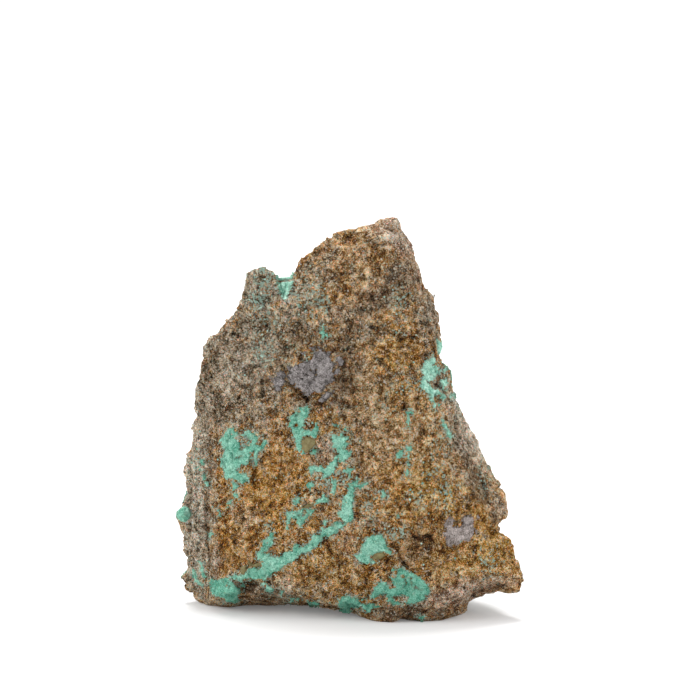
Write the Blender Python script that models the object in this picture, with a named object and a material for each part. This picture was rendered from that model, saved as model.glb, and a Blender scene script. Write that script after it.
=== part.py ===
"""Ajoite on its matrix: a broken, rust-stained piece of copper ore that stands upright on its own base.

The stone is one solid. Its big facets run between corners chosen by hand. They are then cut finer and
given the lumps, hollows, pits and flutes of a fracture. The crusts that stand proud of the stone are
swellings of the same surface, because they grew on it.

Lengths below are in millimetres. X runs across the broad face, Y away from the viewer, Z up.
"""

import math
from typing import NamedTuple

import bmesh
import bpy
from mathutils import Vector, noise

MM = 0.001

HEIGHT = 79.8
WIDTH = 69.4
DEPTH = 34.5

# The corners that show from the front are given as (across, up, back), with "up" measured square to a line
# of sight that looks down by this angle. It is 0 for the line that meets the ground at y = SIGHT_FOOT.
SIGHT_DOWN = math.radians(12.0)
SIGHT_FOOT = -16.0

# Every corner can be seen from this point inside the stone.
HEART = Vector((0.0, 3.5, 33.0))

# The outer edge of the broad face, clockwise from the peak.
OUTLINE = (
    (9.2, 81.8, 2), (10.6, 79.8, 3), (12.0, 76.8, 3), (13.3, 73.2, 3), (14.8, 67.8, 3), (16.2, 65.6, 4),
    (17.0, 63.0, 4), (18.3, 60.4, 4), (17.8, 58.0, 4), (18.8, 53.8, 6), (20.5, 49.2, 6), (22.5, 43.6, 6),
    (24.0, 37.8, 6), (26.6, 34.8, 6), (29.7, 30.2, 5), (31.2, 26.4, 4), (32.2, 22.8, 2), (29.4, 20.6, -1),
    (31.9, 17.4, -4), (33.6, 13.8, -5), (35.5, 9.4, -6), (34.4, 7.6, -5), (32.2, 6.9, -3), (29.8, 7.2, -2),
    (26.6, 6.0, 0), (23.6, 4.4, -1), (23.0, 2.6, -3), (21.0, 0.9, -5),
    (-26.0, 3.4, 3), (-30.4, 4.0, 5), (-32.8, 5.6, 7), (-34.0, 7.4, 8), (-34.4, 10.0, 8), (-33.6, 14.0, 8),
    (-34.3, 17.8, 8), (-34.6, 20.4, 8), (-36.4, 22.2, 8), (-34.4, 24.0, 8), (-33.6, 26.6, 8),
    (-33.6, 29.2, 8), (-33.2, 34.8, 8), (-32.7, 38.8, 8), (-32.0, 42.8, 8), (-32.4, 46.8, 7),
    (-31.5, 51.6, 7), (-30.5, 56.1, 6), (-29.0, 57.8, 6), (-26.9, 59.4, 5), (-24.8, 62.2, 4),
    (-22.6, 65.2, 3), (-21.7, 67.8, 2), (-21.3, 71.2, 1), (-18.4, 72.2, 0), (-15.8, 72.6, 0),
    (-14.9, 70.6, 0), (-11.2, 72.6, 0), (-8.9, 75.0, 0), (-6.7, 76.2, 1), (-5.0, 78.0, 1), (-2.9, 79.0, 1),
    (0.2, 79.9, 1), (3.4, 80.4, 1), (5.6, 81.2, 2), (7.4, 81.8, 2),
)

# The notch beside the horn at the top left: its foot in the broad face, then the crusted wall behind it.
NOTCH = ((-13.0, 64.0, -2.8), (-11.4, 69.6, -1.5), (-14.6, 68.8, -1.5), (-14.9, 68.8, 3.0),
         (-11.4, 69.2, 3.0), (-13.0, 67.0, 1.0))

UPPER_FACE = (
    (9.0, 78.2, -1.5), (2.0, 77.2, -2.5), (11.0, 71.2, -3.0), (15.0, 65.2, -2.0), (6.0, 71.2, -4.0),
    (-2.0, 73.2, -3.5), (-7.0, 70.2, -3.0), (-10.0, 66.2, -3.5), (-17.6, 67.2, -1.5), (-17.0, 61.2, -1.0),
    (-12.0, 59.2, -3.5), (-6.0, 63.2, -5.0), (0.0, 63.2, -6.0), (7.0, 63.2, -5.5), (12.0, 61.2, -5.0),
    (16.4, 59.2, -2.5),
)

MIDDLE_FACE = (
    (15.0, 52.2, -4.5), (10.0, 53.2, -7.0), (4.0, 55.2, -7.5), (-4.0, 56.2, -6.5), (-11.0, 54.2, -4.8),
    (-18.0, 54.2, -1.5), (-24.0, 55.2, 1.0), (-27.6, 53.2, 3.0), (-16.0, 46.2, -2.5), (-22.0, 46.2, -0.5),
    (-28.0, 45.2, 3.0), (-8.0, 45.8, -5.8), (0.4, 45.2, -8.0), (6.0, 47.2, -8.5), (12.0, 46.2, -8.0),
    (17.2, 43.6, -5.5),
)

LOWER_FACE = (
    (18.0, 37.2, -7.5), (21.6, 35.2, -5.0), (11.0, 37.2, -9.5), (4.0, 37.2, -10.0), (-1.0, 35.2, -9.5),
    (-8.0, 36.2, -6.5), (-14.0, 37.2, -4.5), (-20.0, 37.2, -2.0), (-25.0, 35.2, 0.0), (-29.0, 33.2, 3.5),
    (-10.0, 27.2, -7.0), (-17.0, 25.2, -5.0), (-23.0, 23.2, -2.0), (-27.6, 21.2, 2.0), (-2.0, 27.2, -10.0),
    (6.0, 27.2, -11.0), (14.0, 29.2, -10.5), (21.0, 28.2, -9.0), (26.0, 27.2, -6.5), (29.2, 21.4, -6.0),
    (22.0, 21.2, -10.5), (14.0, 19.2, -12.0), (6.0, 19.2, -12.0), (-1.0, 20.2, -10.5), (-8.0, 17.2, -8.5),
    (-16.0, 16.2, -6.5), (-24.4, 15.6, -3.5), (-27.0, 15.2, -0.5), (-29.8, 14.2, 3.5),
    (-4.0, 8.2, -10.0), (3.0, 9.2, -11.5), (10.0, 9.2, -13.0), (18.0, 10.2, -13.0), (26.0, 12.2, -10.5),
    (32.0, 12.2, -8.0),
)

# The lower edge of the broad face: an overhanging ledge at the left, a turned-under lip at the right.
LEDGE = ((-25.0, 8.4, -2.5), (-19.0, 8.4, -5.5), (-12.0, 8.2, -7.5))
LIP = ((30.0, 9.2, -8.5), (24.0, 7.2, -10.5), (16.0, 5.2, -12.5), (10.0, 4.6, -12.5), (2.0, 4.8, -10.5),
       (-5.0, 5.2, -8.5))
RECESS_UNDER_LEDGE = ((-21.0, 5.0, 1.5), (-16.0, 5.4, 0.0), (-12.0, 4.8, -3.0))

# Corners from here on are plain (x, y, z).
BACK_FACE = (
    (8, 10, 75.5), (-4, 10, 71.5), (13.5, 11, 65), (0, 15, 63), (-10, 13, 63.5), (-17.5, 10, 63.5),
    (-21.5, 13, 57), (-10, 17, 53), (6, 18, 52), (15, 16, 50), (-26.5, 15, 46), (-14, 19, 43), (2, 20, 41),
    (16, 18, 40), (22.5, 12, 36), (-29, 15, 36), (-23, 19, 30), (-8, 21, 30), (8, 21, 28), (20, 17, 26),
    (27, 11, 22), (-30, 14, 20), (-24, 19.5, 14), (-10, 21.5, 14), (6, 21.5, 12), (20, 17, 12), (27.5, 9, 10),
    (-29, 13, 6), (-22, 18, 3), (-8, 20.5, 3), (8, 20, 2.5), (20, 15, 4), (27, 6, 6),
)

# The underside: low corners in six groups for the stone to stand on, and what arches between them.
FEET = (
    (-22.5, 4.6, -0.6), (-18, 5, -0.6), (-19.5, 9.5, -0.6),
    (-10, 5.5, -0.6), (-6, 5.2, -0.6), (-8, 8.5, -0.6),
    (-12, 17, -0.6), (-6, 18, -0.6), (-9.5, 14, -0.6),
    (12, 16, -0.6), (17, 13, -0.6), (12.5, 12, -0.6),
    (18.5, -8.5, -0.6), (14, -9.5, -0.6), (16, -4.5, -0.6),
    (8.5, -10.5, -0.6), (5, -9.5, -0.6), (7, -5.5, -0.6),
)
ARCHES = (
    (0, 3, 1.2), (10, 4, 1.6), (-13.5, 7, 1.3), (2, 12, 1.6), (23, 1, 3.5), (11.4, -9.5, 1.6), (-1, -4.0, 0.9),
    (-7, 1.5, 0.9), (-14, 3, 0.9), (-26, 13, 2.0), (1, 18.5, 1.4),
)

# Flat breaks across the back and the sides, each as a point on it and the direction it faces.
BREAKS = (
    ((-20.0, 15.6, 45.0), (-0.42, 0.88, 0.22)),
    ((12.0, 15.8, 52.0), (0.30, 0.90, 0.30)),
    ((-12.0, 19.4, 20.0), (-0.16, 0.98, -0.08)),
    ((16.0, 17.0, 22.0), (0.48, 0.87, 0.10)),
    ((-2.0, 13.4, 64.0), (-0.10, 0.90, 0.42)),
    ((-30.4, 13.0, 24.0), (-0.70, 0.71, 0.0)),
    ((26.4, 9.0, 20.0), (0.84, 0.53, 0.10)),
    ((2.0, 19.4, 7.0), (0.05, 0.93, -0.35)),
)

# The feet are flat, and the relief fades out over this height above them.
RELIEF_FADE = 2.5

FACET_EDGE = 2.75


class Swell(NamedTuple):
    """A rounded lump on the broad face, or a hollow where it goes in, as seen from the front.

    The long way of it, half_length, is turned from level by the angle.
    """

    across: float
    up: float
    half_length: float
    half_width: float
    turn_deg: float
    out: float


SWELLS = (
    Swell(-7.6, 51.4, 5.6, 4.4, 0, 2.2),     # the boss under the grey crust
    Swell(-9.6, 47.8, 3.6, 1.6, -20, -1.6),  # the shadowed underside of the boss
    Swell(0.6, 52.4, 6.5, 1.7, 90, -1.4),    # the valley beside the boss
    Swell(-25.2, 7.6, 3.4, 2.4, 0, 2.6),     # the thick crust at the lower left
    Swell(-3.8, 12.0, 4.5, 0.9, 28, -1.0),   # a groove above the lower edge
    Swell(10.6, 13.8, 2.6, 1.0, -60, -0.8),  # a crack in the rusty hollow
    Swell(2.0, 34.4, 14.0, 1.6, 82, -0.7),   # the long valley down the middle
    Swell(16.0, 36.4, 9.0, 4.0, 75, 0.8),
    Swell(-22.0, 31.4, 5.0, 4.0, 0, -0.8),
    Swell(9.0, 26.4, 6.0, 4.0, 0, 0.7),
    Swell(20.5, 19.4, 3.6, 3.0, 0, 0.6),     # under the grey crust at the lower right
    Swell(28.0, 25.9, 2.6, 1.6, -60, -1.6),  # the dark recess at the right edge
    Swell(8.0, 67.4, 5.0, 3.0, 30, -0.8),
    Swell(-15.0, 53.4, 4.0, 3.0, 0, -0.7),
)


def seen_from_front(across, up, back):
    """A corner read in the front view, as a point of the stone."""
    rise = (up - (back - SIGHT_FOOT) * math.sin(SIGHT_DOWN)) / math.cos(SIGHT_DOWN)
    return Vector((across, back, rise))


def height_in_view(point):
    """How high up in the front view a point of the stone shows."""
    return point.z * math.cos(SIGHT_DOWN) + (point.y - SIGHT_FOOT) * math.sin(SIGHT_DOWN)


def corners():
    """All corners of the coarse stone."""
    front = OUTLINE + NOTCH + UPPER_FACE + MIDDLE_FACE + LOWER_FACE + LEDGE + LIP + RECESS_UNDER_LEDGE
    points = [seen_from_front(*corner) for corner in front]
    points += [Vector(corner) for corner in BACK_FACE + FEET + ARCHES]
    return points


def coarse_stone():
    """Facets between the corners.

    The corners are moved onto a ball around HEART, where the convex hull joins each to its neighbours,
    and then back to their places.
    """
    stone = bmesh.new()
    home = {}
    for point in corners():
        vertex = stone.verts.new((point - HEART).normalized())
        home[vertex] = point
    bmesh.ops.convex_hull(stone, input=stone.verts)
    for vertex, point in home.items():
        vertex.co = point
    bmesh.ops.recalc_face_normals(stone, faces=stone.faces)
    return stone


def cut_finer(stone):
    """Halves every edge longer than FACET_EDGE, again and again, until none is left."""
    while True:
        long_edges = [edge for edge in stone.edges if edge.calc_length() > FACET_EDGE]
        if not long_edges:
            break
        bmesh.ops.subdivide_edges(stone, edges=long_edges, cuts=1)
        bmesh.ops.triangulate(stone, faces=stone.faces, quad_method="SHORT_EDGE")
    stone.normal_update()


def swelling(point, normal):
    """How far the lumps and hollows of the broad face move a point of it."""
    facing = max(0.0, -normal.y)
    out = 0.0
    for swell in SWELLS:
        along = point.x - swell.across
        above = height_in_view(point) - swell.up
        turn = math.radians(swell.turn_deg)
        lengthways = (along * math.cos(turn) + above * math.sin(turn)) / swell.half_length
        sideways = (above * math.cos(turn) - along * math.sin(turn)) / swell.half_width
        out += swell.out * math.exp(-lengthways ** 2 - sideways ** 2)
    return out * facing


def fracture(point, normal):
    """How far the broken surface stands out at a point: broad waves, lumps, and flutes down the sides.

    What faces up gets less of it, so the thin upper rim stays nearly as sharp as its corners are.
    """
    waves = 0.7 * noise.noise(point / 13.0)
    lumps = 0.85 * noise.fractal(point / 5.0, 0.8, 2.1, 3)
    pits = -1.2 * max(0.0, noise.noise(point / 6.0 + Vector((40.0, 0.0, 0.0))) - 0.3)
    stretched = Vector((point.x / 2.6, point.y / 2.6, point.z / 16.0))
    flutes = 0.9 * abs(normal.x) * noise.noise(stretched)
    return (waves + lumps + pits + flutes) * (1.0 - 0.7 * max(0.0, normal.z))


def break_off(stone):
    """Presses whatever stands beyond a break back onto its plane."""
    for place, facing in BREAKS:
        place = Vector(place)
        facing = Vector(facing).normalized()
        for vertex in stone.verts:
            beyond = (vertex.co - place).dot(facing)
            if beyond > 0.0:
                vertex.co -= facing * beyond
    stone.normal_update()


def roughen(stone):
    """Moves every point of the stone in or out, and then sets the feet flat on the ground."""
    moves = {}
    for vertex in stone.verts:
        out = swelling(vertex.co, vertex.normal) + fracture(vertex.co, vertex.normal)
        fade = min(1.0, max(0.0, vertex.co.z / RELIEF_FADE))
        moves[vertex] = vertex.normal * out * fade
    for vertex, move in moves.items():
        vertex.co += move
        vertex.co.z = max(0.0, vertex.co.z)


def settle(stone):
    """Scales the stone to its overall sizes, and puts the middle of its base at the origin."""
    low = Vector([min(vertex.co[axis] for vertex in stone.verts) for axis in range(3)])
    high = Vector([max(vertex.co[axis] for vertex in stone.verts) for axis in range(3)])
    middle = (low + high) / 2
    scale = [size * MM / span for size, span in zip((WIDTH, DEPTH, HEIGHT), high - low)]
    bmesh.ops.translate(stone, vec=(-middle.x, -middle.y, 0.0), verts=stone.verts)
    bmesh.ops.scale(stone, vec=scale, verts=stone.verts)


def stone_material():
    """The rusty brown of weathered copper ore."""
    material = bpy.data.materials.new("matrix")
    material.use_nodes = True
    shader = material.node_tree.nodes["Principled BSDF"]
    shader.inputs["Base Color"].default_value = (0.20, 0.105, 0.05, 1.0)
    shader.inputs["Roughness"].default_value = 0.9
    return material


def main():
    """Builds the stone as one closed solid, in metres."""
    for old in list(bpy.data.objects):
        bpy.data.objects.remove(old)
    stone = coarse_stone()
    cut_finer(stone)
    break_off(stone)
    roughen(stone)
    settle(stone)
    mesh = bpy.data.meshes.new("stone")
    stone.to_mesh(mesh)
    stone.free()
    mesh.materials.append(stone_material())
    bpy.context.scene.collection.objects.link(bpy.data.objects.new("stone", mesh))


main()
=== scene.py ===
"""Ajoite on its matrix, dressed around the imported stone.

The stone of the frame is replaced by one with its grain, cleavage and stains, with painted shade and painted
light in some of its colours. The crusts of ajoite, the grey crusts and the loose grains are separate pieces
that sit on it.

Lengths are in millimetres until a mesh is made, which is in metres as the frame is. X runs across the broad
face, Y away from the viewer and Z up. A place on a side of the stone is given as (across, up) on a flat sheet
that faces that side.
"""

import logging
import math
from collections.abc import Sequence
from dataclasses import dataclass, field
from enum import Enum

import bmesh
import bpy
import numpy as np
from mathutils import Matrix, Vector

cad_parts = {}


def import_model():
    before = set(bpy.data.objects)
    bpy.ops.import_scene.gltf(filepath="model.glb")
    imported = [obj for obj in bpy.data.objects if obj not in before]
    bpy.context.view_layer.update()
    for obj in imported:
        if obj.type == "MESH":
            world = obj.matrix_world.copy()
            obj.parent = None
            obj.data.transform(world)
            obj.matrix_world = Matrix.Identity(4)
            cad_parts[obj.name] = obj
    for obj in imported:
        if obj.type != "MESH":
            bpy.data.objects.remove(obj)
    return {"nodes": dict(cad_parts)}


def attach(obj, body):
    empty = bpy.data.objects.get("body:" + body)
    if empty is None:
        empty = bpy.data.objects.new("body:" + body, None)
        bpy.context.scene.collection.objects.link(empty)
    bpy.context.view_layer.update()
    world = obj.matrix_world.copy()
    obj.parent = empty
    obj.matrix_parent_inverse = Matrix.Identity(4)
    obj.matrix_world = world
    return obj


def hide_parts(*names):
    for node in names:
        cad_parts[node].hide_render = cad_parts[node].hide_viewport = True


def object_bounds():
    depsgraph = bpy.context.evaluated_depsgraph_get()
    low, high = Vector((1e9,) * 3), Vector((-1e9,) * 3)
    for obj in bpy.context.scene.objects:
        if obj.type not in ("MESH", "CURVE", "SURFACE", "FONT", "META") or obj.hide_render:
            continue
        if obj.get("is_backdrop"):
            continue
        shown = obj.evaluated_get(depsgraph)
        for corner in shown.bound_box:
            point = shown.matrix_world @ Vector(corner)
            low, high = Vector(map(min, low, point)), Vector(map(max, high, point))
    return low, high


MM = 0.001
SIGHT_DOWN = math.radians(12.0)
SIGHT_FOOT = -20.3
NODE = "stone"
BODY = "root"

log = logging.getLogger("ajoite")

Array = np.ndarray
Chain = tuple[tuple[float, float, float], ...]
Outline = tuple[tuple[float, float], ...]


class Side(Enum):
    """The sides of the stone that a crust or a stain can be placed on."""

    FRONT = "front"
    BACK = "back"
    LEFT = "left"
    RIGHT = "right"
    TOP = "top"
    UNDER = "under"


@dataclass(frozen=True)
class Sheet:
    """A flat sheet that faces one side of the stone.

    A point of the stone is at (point - origin) . right across and (point - origin) . up up the sheet.
    """

    right: tuple[float, float, float]
    up: tuple[float, float, float]
    origin: tuple[float, float, float] = (0.0, 0.0, 0.0)

    @property
    def out(self) -> Array:
        """The direction from the stone towards whoever looks at this side."""
        return np.cross(self.right, self.up)

    def place(self, points: Array) -> tuple[Array, Array]:
        """Where points of the stone are on the sheet.

        Args:
            points: positions, one row each.

        Returns:
            Their places across and up.
        """
        moved = points - np.array(self.origin)
        return moved @ np.array(self.right), moved @ np.array(self.up)

    def lift(self, across: Array, up: Array, out: float) -> Array:
        """Points at places on the sheet, held a distance out from it."""
        flat = across[:, None] * np.array(self.right) + up[:, None] * np.array(self.up)
        return flat + np.array(self.origin) + out * self.out


SHEETS: dict[Side, Sheet] = {
    Side.FRONT: Sheet((1, 0, 0), (0, math.sin(SIGHT_DOWN), math.cos(SIGHT_DOWN)), (0, SIGHT_FOOT, 0)),
    Side.BACK: Sheet((-1, 0, 0), (0, 0, 1)),
    Side.LEFT: Sheet((0, -1, 0), (0, 0, 1)),
    Side.RIGHT: Sheet((0, 1, 0), (0, 0, 1)),
    Side.TOP: Sheet((1, 0, 0), (0, 1, 0)),
    Side.UNDER: Sheet((1, 0, 0), (0, -1, 0)),
}


class Noise:
    """Random fields in space, worked out for whole arrays of points at once."""

    def __init__(self, seed: int) -> None:
        """Draws the tables that the fields are made from.

        Args:
            seed: picks the tables, so a seed always gives the same fields.
        """
        random = np.random.default_rng(seed)
        self.order = np.tile(random.permutation(256), 3)
        slopes = random.normal(size=(256, 3))
        self.slopes = slopes / np.linalg.norm(slopes, axis=1, keepdims=True)
        self.spots = random.uniform(0.1, 0.9, size=(256, 3))

    def pick(self, cells: Array) -> Array:
        """A table row for each unit cell of space, the same each time for the same cell."""
        wrapped = cells & 255
        first = self.order[wrapped[:, 0]] + wrapped[:, 1]
        return self.order[self.order[first] + wrapped[:, 2]]

    def waves(self, points: Array) -> Array:
        """Smooth noise from about -1 to 1, with features about one unit wide.

        Each corner of the unit cell around a point has a slope. The value is the mean of those slopes'
        heights at the point, weighted by an S-curve of the distance to the corner.
        """
        base = np.floor(points).astype(np.int64)
        inner = points - base
        ease = inner ** 3 * (inner * (inner * 6.0 - 15.0) + 10.0)
        total = np.zeros(len(points))
        for corner in np.ndindex(2, 2, 2):
            offset = np.array(corner)
            heights = ((inner - offset) * self.slopes[self.pick(base + offset)]).sum(axis=1)
            total += heights * np.where(offset == 1, ease, 1.0 - ease).prod(axis=1)
        return total * 1.6

    def rough(self, points: Array, octaves: int = 4, gain: float = 0.5) -> Array:
        """Noise with finer and finer noise added, each octave half the size and gain times the height."""
        total = np.zeros(len(points))
        height = 1.0
        for octave in range(octaves):
            total += height * self.waves(points * 2.0 ** octave + 17.3 * octave)
            height *= gain
        return total

    def facets(self, points: Array) -> Array:
        """Flat facets about one unit wide, from about -0.5 to 0.5.

        Space is broken into grains. Within each, the height rises along the grain's own slope.
        """
        base = np.floor(points).astype(np.int64)
        nearest = np.full(len(points), 9.0)
        heights = np.zeros(len(points))
        for step in np.ndindex(3, 3, 3):
            row = self.pick(base + np.array(step) - 1)
            offset = points - (base + np.array(step) - 1) - self.spots[row]
            distance = np.linalg.norm(offset, axis=1)
            closer = distance < nearest
            heights = np.where(closer, (offset * self.slopes[row]).sum(axis=1), heights)
            nearest = np.minimum(nearest, distance)
        return heights

    def grains(self, points: Array) -> tuple[Array, Array, Array]:
        """Space broken into grains about one unit wide, one around a random spot in each unit cell.

        Args:
            points: positions, in units of a grain.

        Returns:
            The distance to the nearest spot, how much farther the next one is, and a number from 0 to 1
            that is the same all over a grain.
        """
        base = np.floor(points).astype(np.int64)
        nearest = np.full(len(points), 9.0)
        second = np.full(len(points), 9.0)
        tag = np.zeros(len(points))
        for step in np.ndindex(3, 3, 3):
            cells = base + np.array(step) - 1
            row = self.pick(cells)
            distance = np.linalg.norm(cells + self.spots[row] - points, axis=1)
            closer = distance < nearest
            second = np.where(closer, nearest, np.minimum(second, distance))
            tag = np.where(closer, row / 255.0, tag)
            nearest = np.minimum(nearest, distance)
        return nearest, second - nearest, tag


def ease(low: float, high: float, values: Array) -> Array:
    """An S-curve from 0 at low to 1 at high."""
    part = np.clip((values - low) / (high - low), 0.0, 1.0)
    return part * part * (3.0 - 2.0 * part)


def spread(count: int, corners: Array, values: Array) -> Array:
    """Adds each face's value to all its corners.

    Args:
        count: how many points there are.
        corners: the point of each corner, one row a face.
        values: three numbers for each face.

    Returns:
        The sums, one row a point.
    """
    flat = corners.ravel()
    repeated = np.repeat(values, corners.shape[1], axis=0)
    return np.stack([np.bincount(flat, repeated[:, axis], count) for axis in range(3)], axis=1)


def point_normals(points: Array, quads: Array) -> Array:
    """The outward direction at each point: the mean of its faces' normals, weighted by their size."""
    diagonals = points[quads[:, 2]] - points[quads[:, 0]], points[quads[:, 3]] - points[quads[:, 1]]
    normals = spread(len(points), quads, np.cross(*diagonals))
    return normals / np.maximum(np.linalg.norm(normals, axis=1, keepdims=True), 1e-12)


def smoothed(points: Array, quads: Array, passes: int) -> Array:
    """Evens a surface out without shrinking it.

    Each pass moves every point half way to the mean of its faces' middles, and then a little farther back
    along the same rule.
    """
    shares = np.bincount(quads.ravel(), minlength=len(points))[:, None]
    for _ in range(passes):
        for share in (0.5, -0.52):
            means = spread(len(points), quads, points[quads].mean(axis=1)) / shares
            points = points + share * (means - points)
    return points


def make_mesh(name: str, points: Array, faces: Array) -> bpy.types.Object:
    """A smooth-shaded object from points in millimetres and faces of three or four corners each."""
    mesh = bpy.data.meshes.new(name)
    size = faces.shape[1]
    mesh.vertices.add(len(points))
    mesh.vertices.foreach_set("co", (points * MM).astype(np.float32).ravel())
    mesh.loops.add(faces.size)
    mesh.loops.foreach_set("vertex_index", faces.astype(np.int32).ravel())
    mesh.polygons.add(len(faces))
    mesh.polygons.foreach_set("loop_start", np.arange(0, faces.size, size, dtype=np.int32))
    mesh.update(calc_edges=True)
    mesh.validate()
    mesh.shade_smooth()
    piece = bpy.data.objects.new(name, mesh)
    bpy.context.scene.collection.objects.link(piece)
    return piece


def add_values(piece: bpy.types.Object, name: str, values: Array) -> None:
    """Stores one number for each point of a piece, for its material to read."""
    attribute = piece.data.attributes.new(name, "FLOAT", "POINT")
    attribute.data.foreach_set("value", values.astype(np.float32))


def finished_points(piece: bpy.types.Object) -> tuple[Array, Array]:
    """The points of a piece with its modifiers applied, in millimetres, and its four-cornered faces."""
    evaluated = piece.evaluated_get(bpy.context.evaluated_depsgraph_get())
    mesh = evaluated.to_mesh()
    points = np.empty(len(mesh.vertices) * 3, dtype=np.float32)
    mesh.vertices.foreach_get("co", points)
    starts = np.empty(len(mesh.loops), dtype=np.int32)
    mesh.loops.foreach_get("vertex_index", starts)
    evaluated.to_mesh_clear()
    return points.reshape(-1, 3).astype(float) / MM, starts.reshape(-1, 4)


def remove(piece: bpy.types.Object) -> None:
    """Takes a helper object and its mesh out of the scene."""
    mesh = piece.data
    bpy.data.objects.remove(piece)
    bpy.data.meshes.remove(mesh)


def dress(piece: bpy.types.Object, material: bpy.types.Material) -> None:
    """Gives a piece its finish, and lets it move with the stone."""
    piece.data.materials.clear()
    piece.data.materials.append(material)
    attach(piece, BODY)


def chain_depth(chains: Sequence[Chain], across: Array, up: Array) -> Array:
    """How deep places are inside chains of discs.

    Two discs that follow each other in a chain are joined by a band whose half width runs from the one's
    radius to the other's.

    Args:
        chains: for each chain, its discs as (across, up, radius).
        across: places across the sheet.
        up: the same places up the sheet.

    Returns:
        The distance in from the nearest edge, negative outside, and never under -3.
    """
    depth = np.full(across.shape, -3.0)
    for chain in chains:
        for start, end in zip(chain, chain[1:] or chain):
            reach = max(start[2], end[2]) + 3.0
            near = (across > min(start[0], end[0]) - reach) & (across < max(start[0], end[0]) + reach)
            near &= (up > min(start[1], end[1]) - reach) & (up < max(start[1], end[1]) + reach)
            run, rise = end[0] - start[0], end[1] - start[1]
            length = max(run * run + rise * rise, 1e-9)
            from_x, from_y = across[near] - start[0], up[near] - start[1]
            part = np.clip((from_x * run + from_y * rise) / length, 0.0, 1.0)
            radius = start[2] + (end[2] - start[2]) * part
            gap = np.hypot(from_x - part * run, from_y - part * rise)
            depth[near] = np.maximum(depth[near], radius - gap)
    return depth


def outline_depth(outlines: Sequence[Outline], across: Array, up: Array) -> Array:
    """How deep places are inside any of some outlines.

    It is the distance to the nearest edge, counted as positive where a line to the right crosses the
    outline an odd number of times.

    Args:
        outlines: for each outline, its corners as (across, up).
        across: places across the sheet.
        up: the same places up the sheet.

    Returns:
        The distance in from the nearest edge, negative outside, and never under -3.
    """
    depth = np.full(across.shape, -3.0)
    for outline in outlines:
        corners = np.array(outline)
        low, high = corners.min(axis=0) - 3.0, corners.max(axis=0) + 3.0
        near = (across > low[0]) & (across < high[0]) & (up > low[1]) & (up < high[1])
        east, north = across[near], up[near]
        nearest = np.full(east.shape, 9.0)
        inside = np.zeros(east.shape, dtype=bool)
        for start, end in zip(corners, np.roll(corners, -1, axis=0)):
            run, rise = end - start
            from_x, from_y = east - start[0], north - start[1]
            part = np.clip((from_x * run + from_y * rise) / (run * run + rise * rise), 0.0, 1.0)
            nearest = np.minimum(nearest, np.hypot(from_x - part * run, from_y - part * rise))
            spans = (start[1] > north) != (end[1] > north)
            inside ^= spans & (from_x < from_y * run / (rise or 1e-9))
        depth[near] = np.maximum(depth[near], np.where(inside, nearest, -nearest))
    return depth


@dataclass(frozen=True)
class Spot:
    """A soft-edged oval of one tone on a side of the stone."""

    across: float
    up: float
    half_width: float
    half_height: float
    strength: float = 1.0
    turn_deg: float = 0.0

    def cover(self, across: Array, up: Array) -> Array:
        """How strongly it covers places: its strength times exp of minus the squared oval distance."""
        turn = math.radians(self.turn_deg)
        east, north = across - self.across, up - self.up
        long_way = (east * math.cos(turn) + north * math.sin(turn)) / self.half_width
        short_way = (north * math.cos(turn) - east * math.sin(turn)) / self.half_height
        return self.strength * np.exp(-0.7 * (long_way ** 2 + short_way ** 2))


class Tone(Enum):
    """The tones that the matrix is mottled with, each an attribute of the stone. Besides stains, the dark one
    is painted shade in grooves, hollows and along the base, the pale one is painted light down the left flank,
    and the tan one is partly a painted highlight on the bump in the middle.
    """

    RUST = "rust"
    OCHRE = "ochre"
    GREY = "grey"
    DARK_AND_SHADE = "dark"
    PALE_AND_LIT = "pale"
    TAN = "tan"
    PINK = "pink"
    TEAL = "teal"


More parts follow.
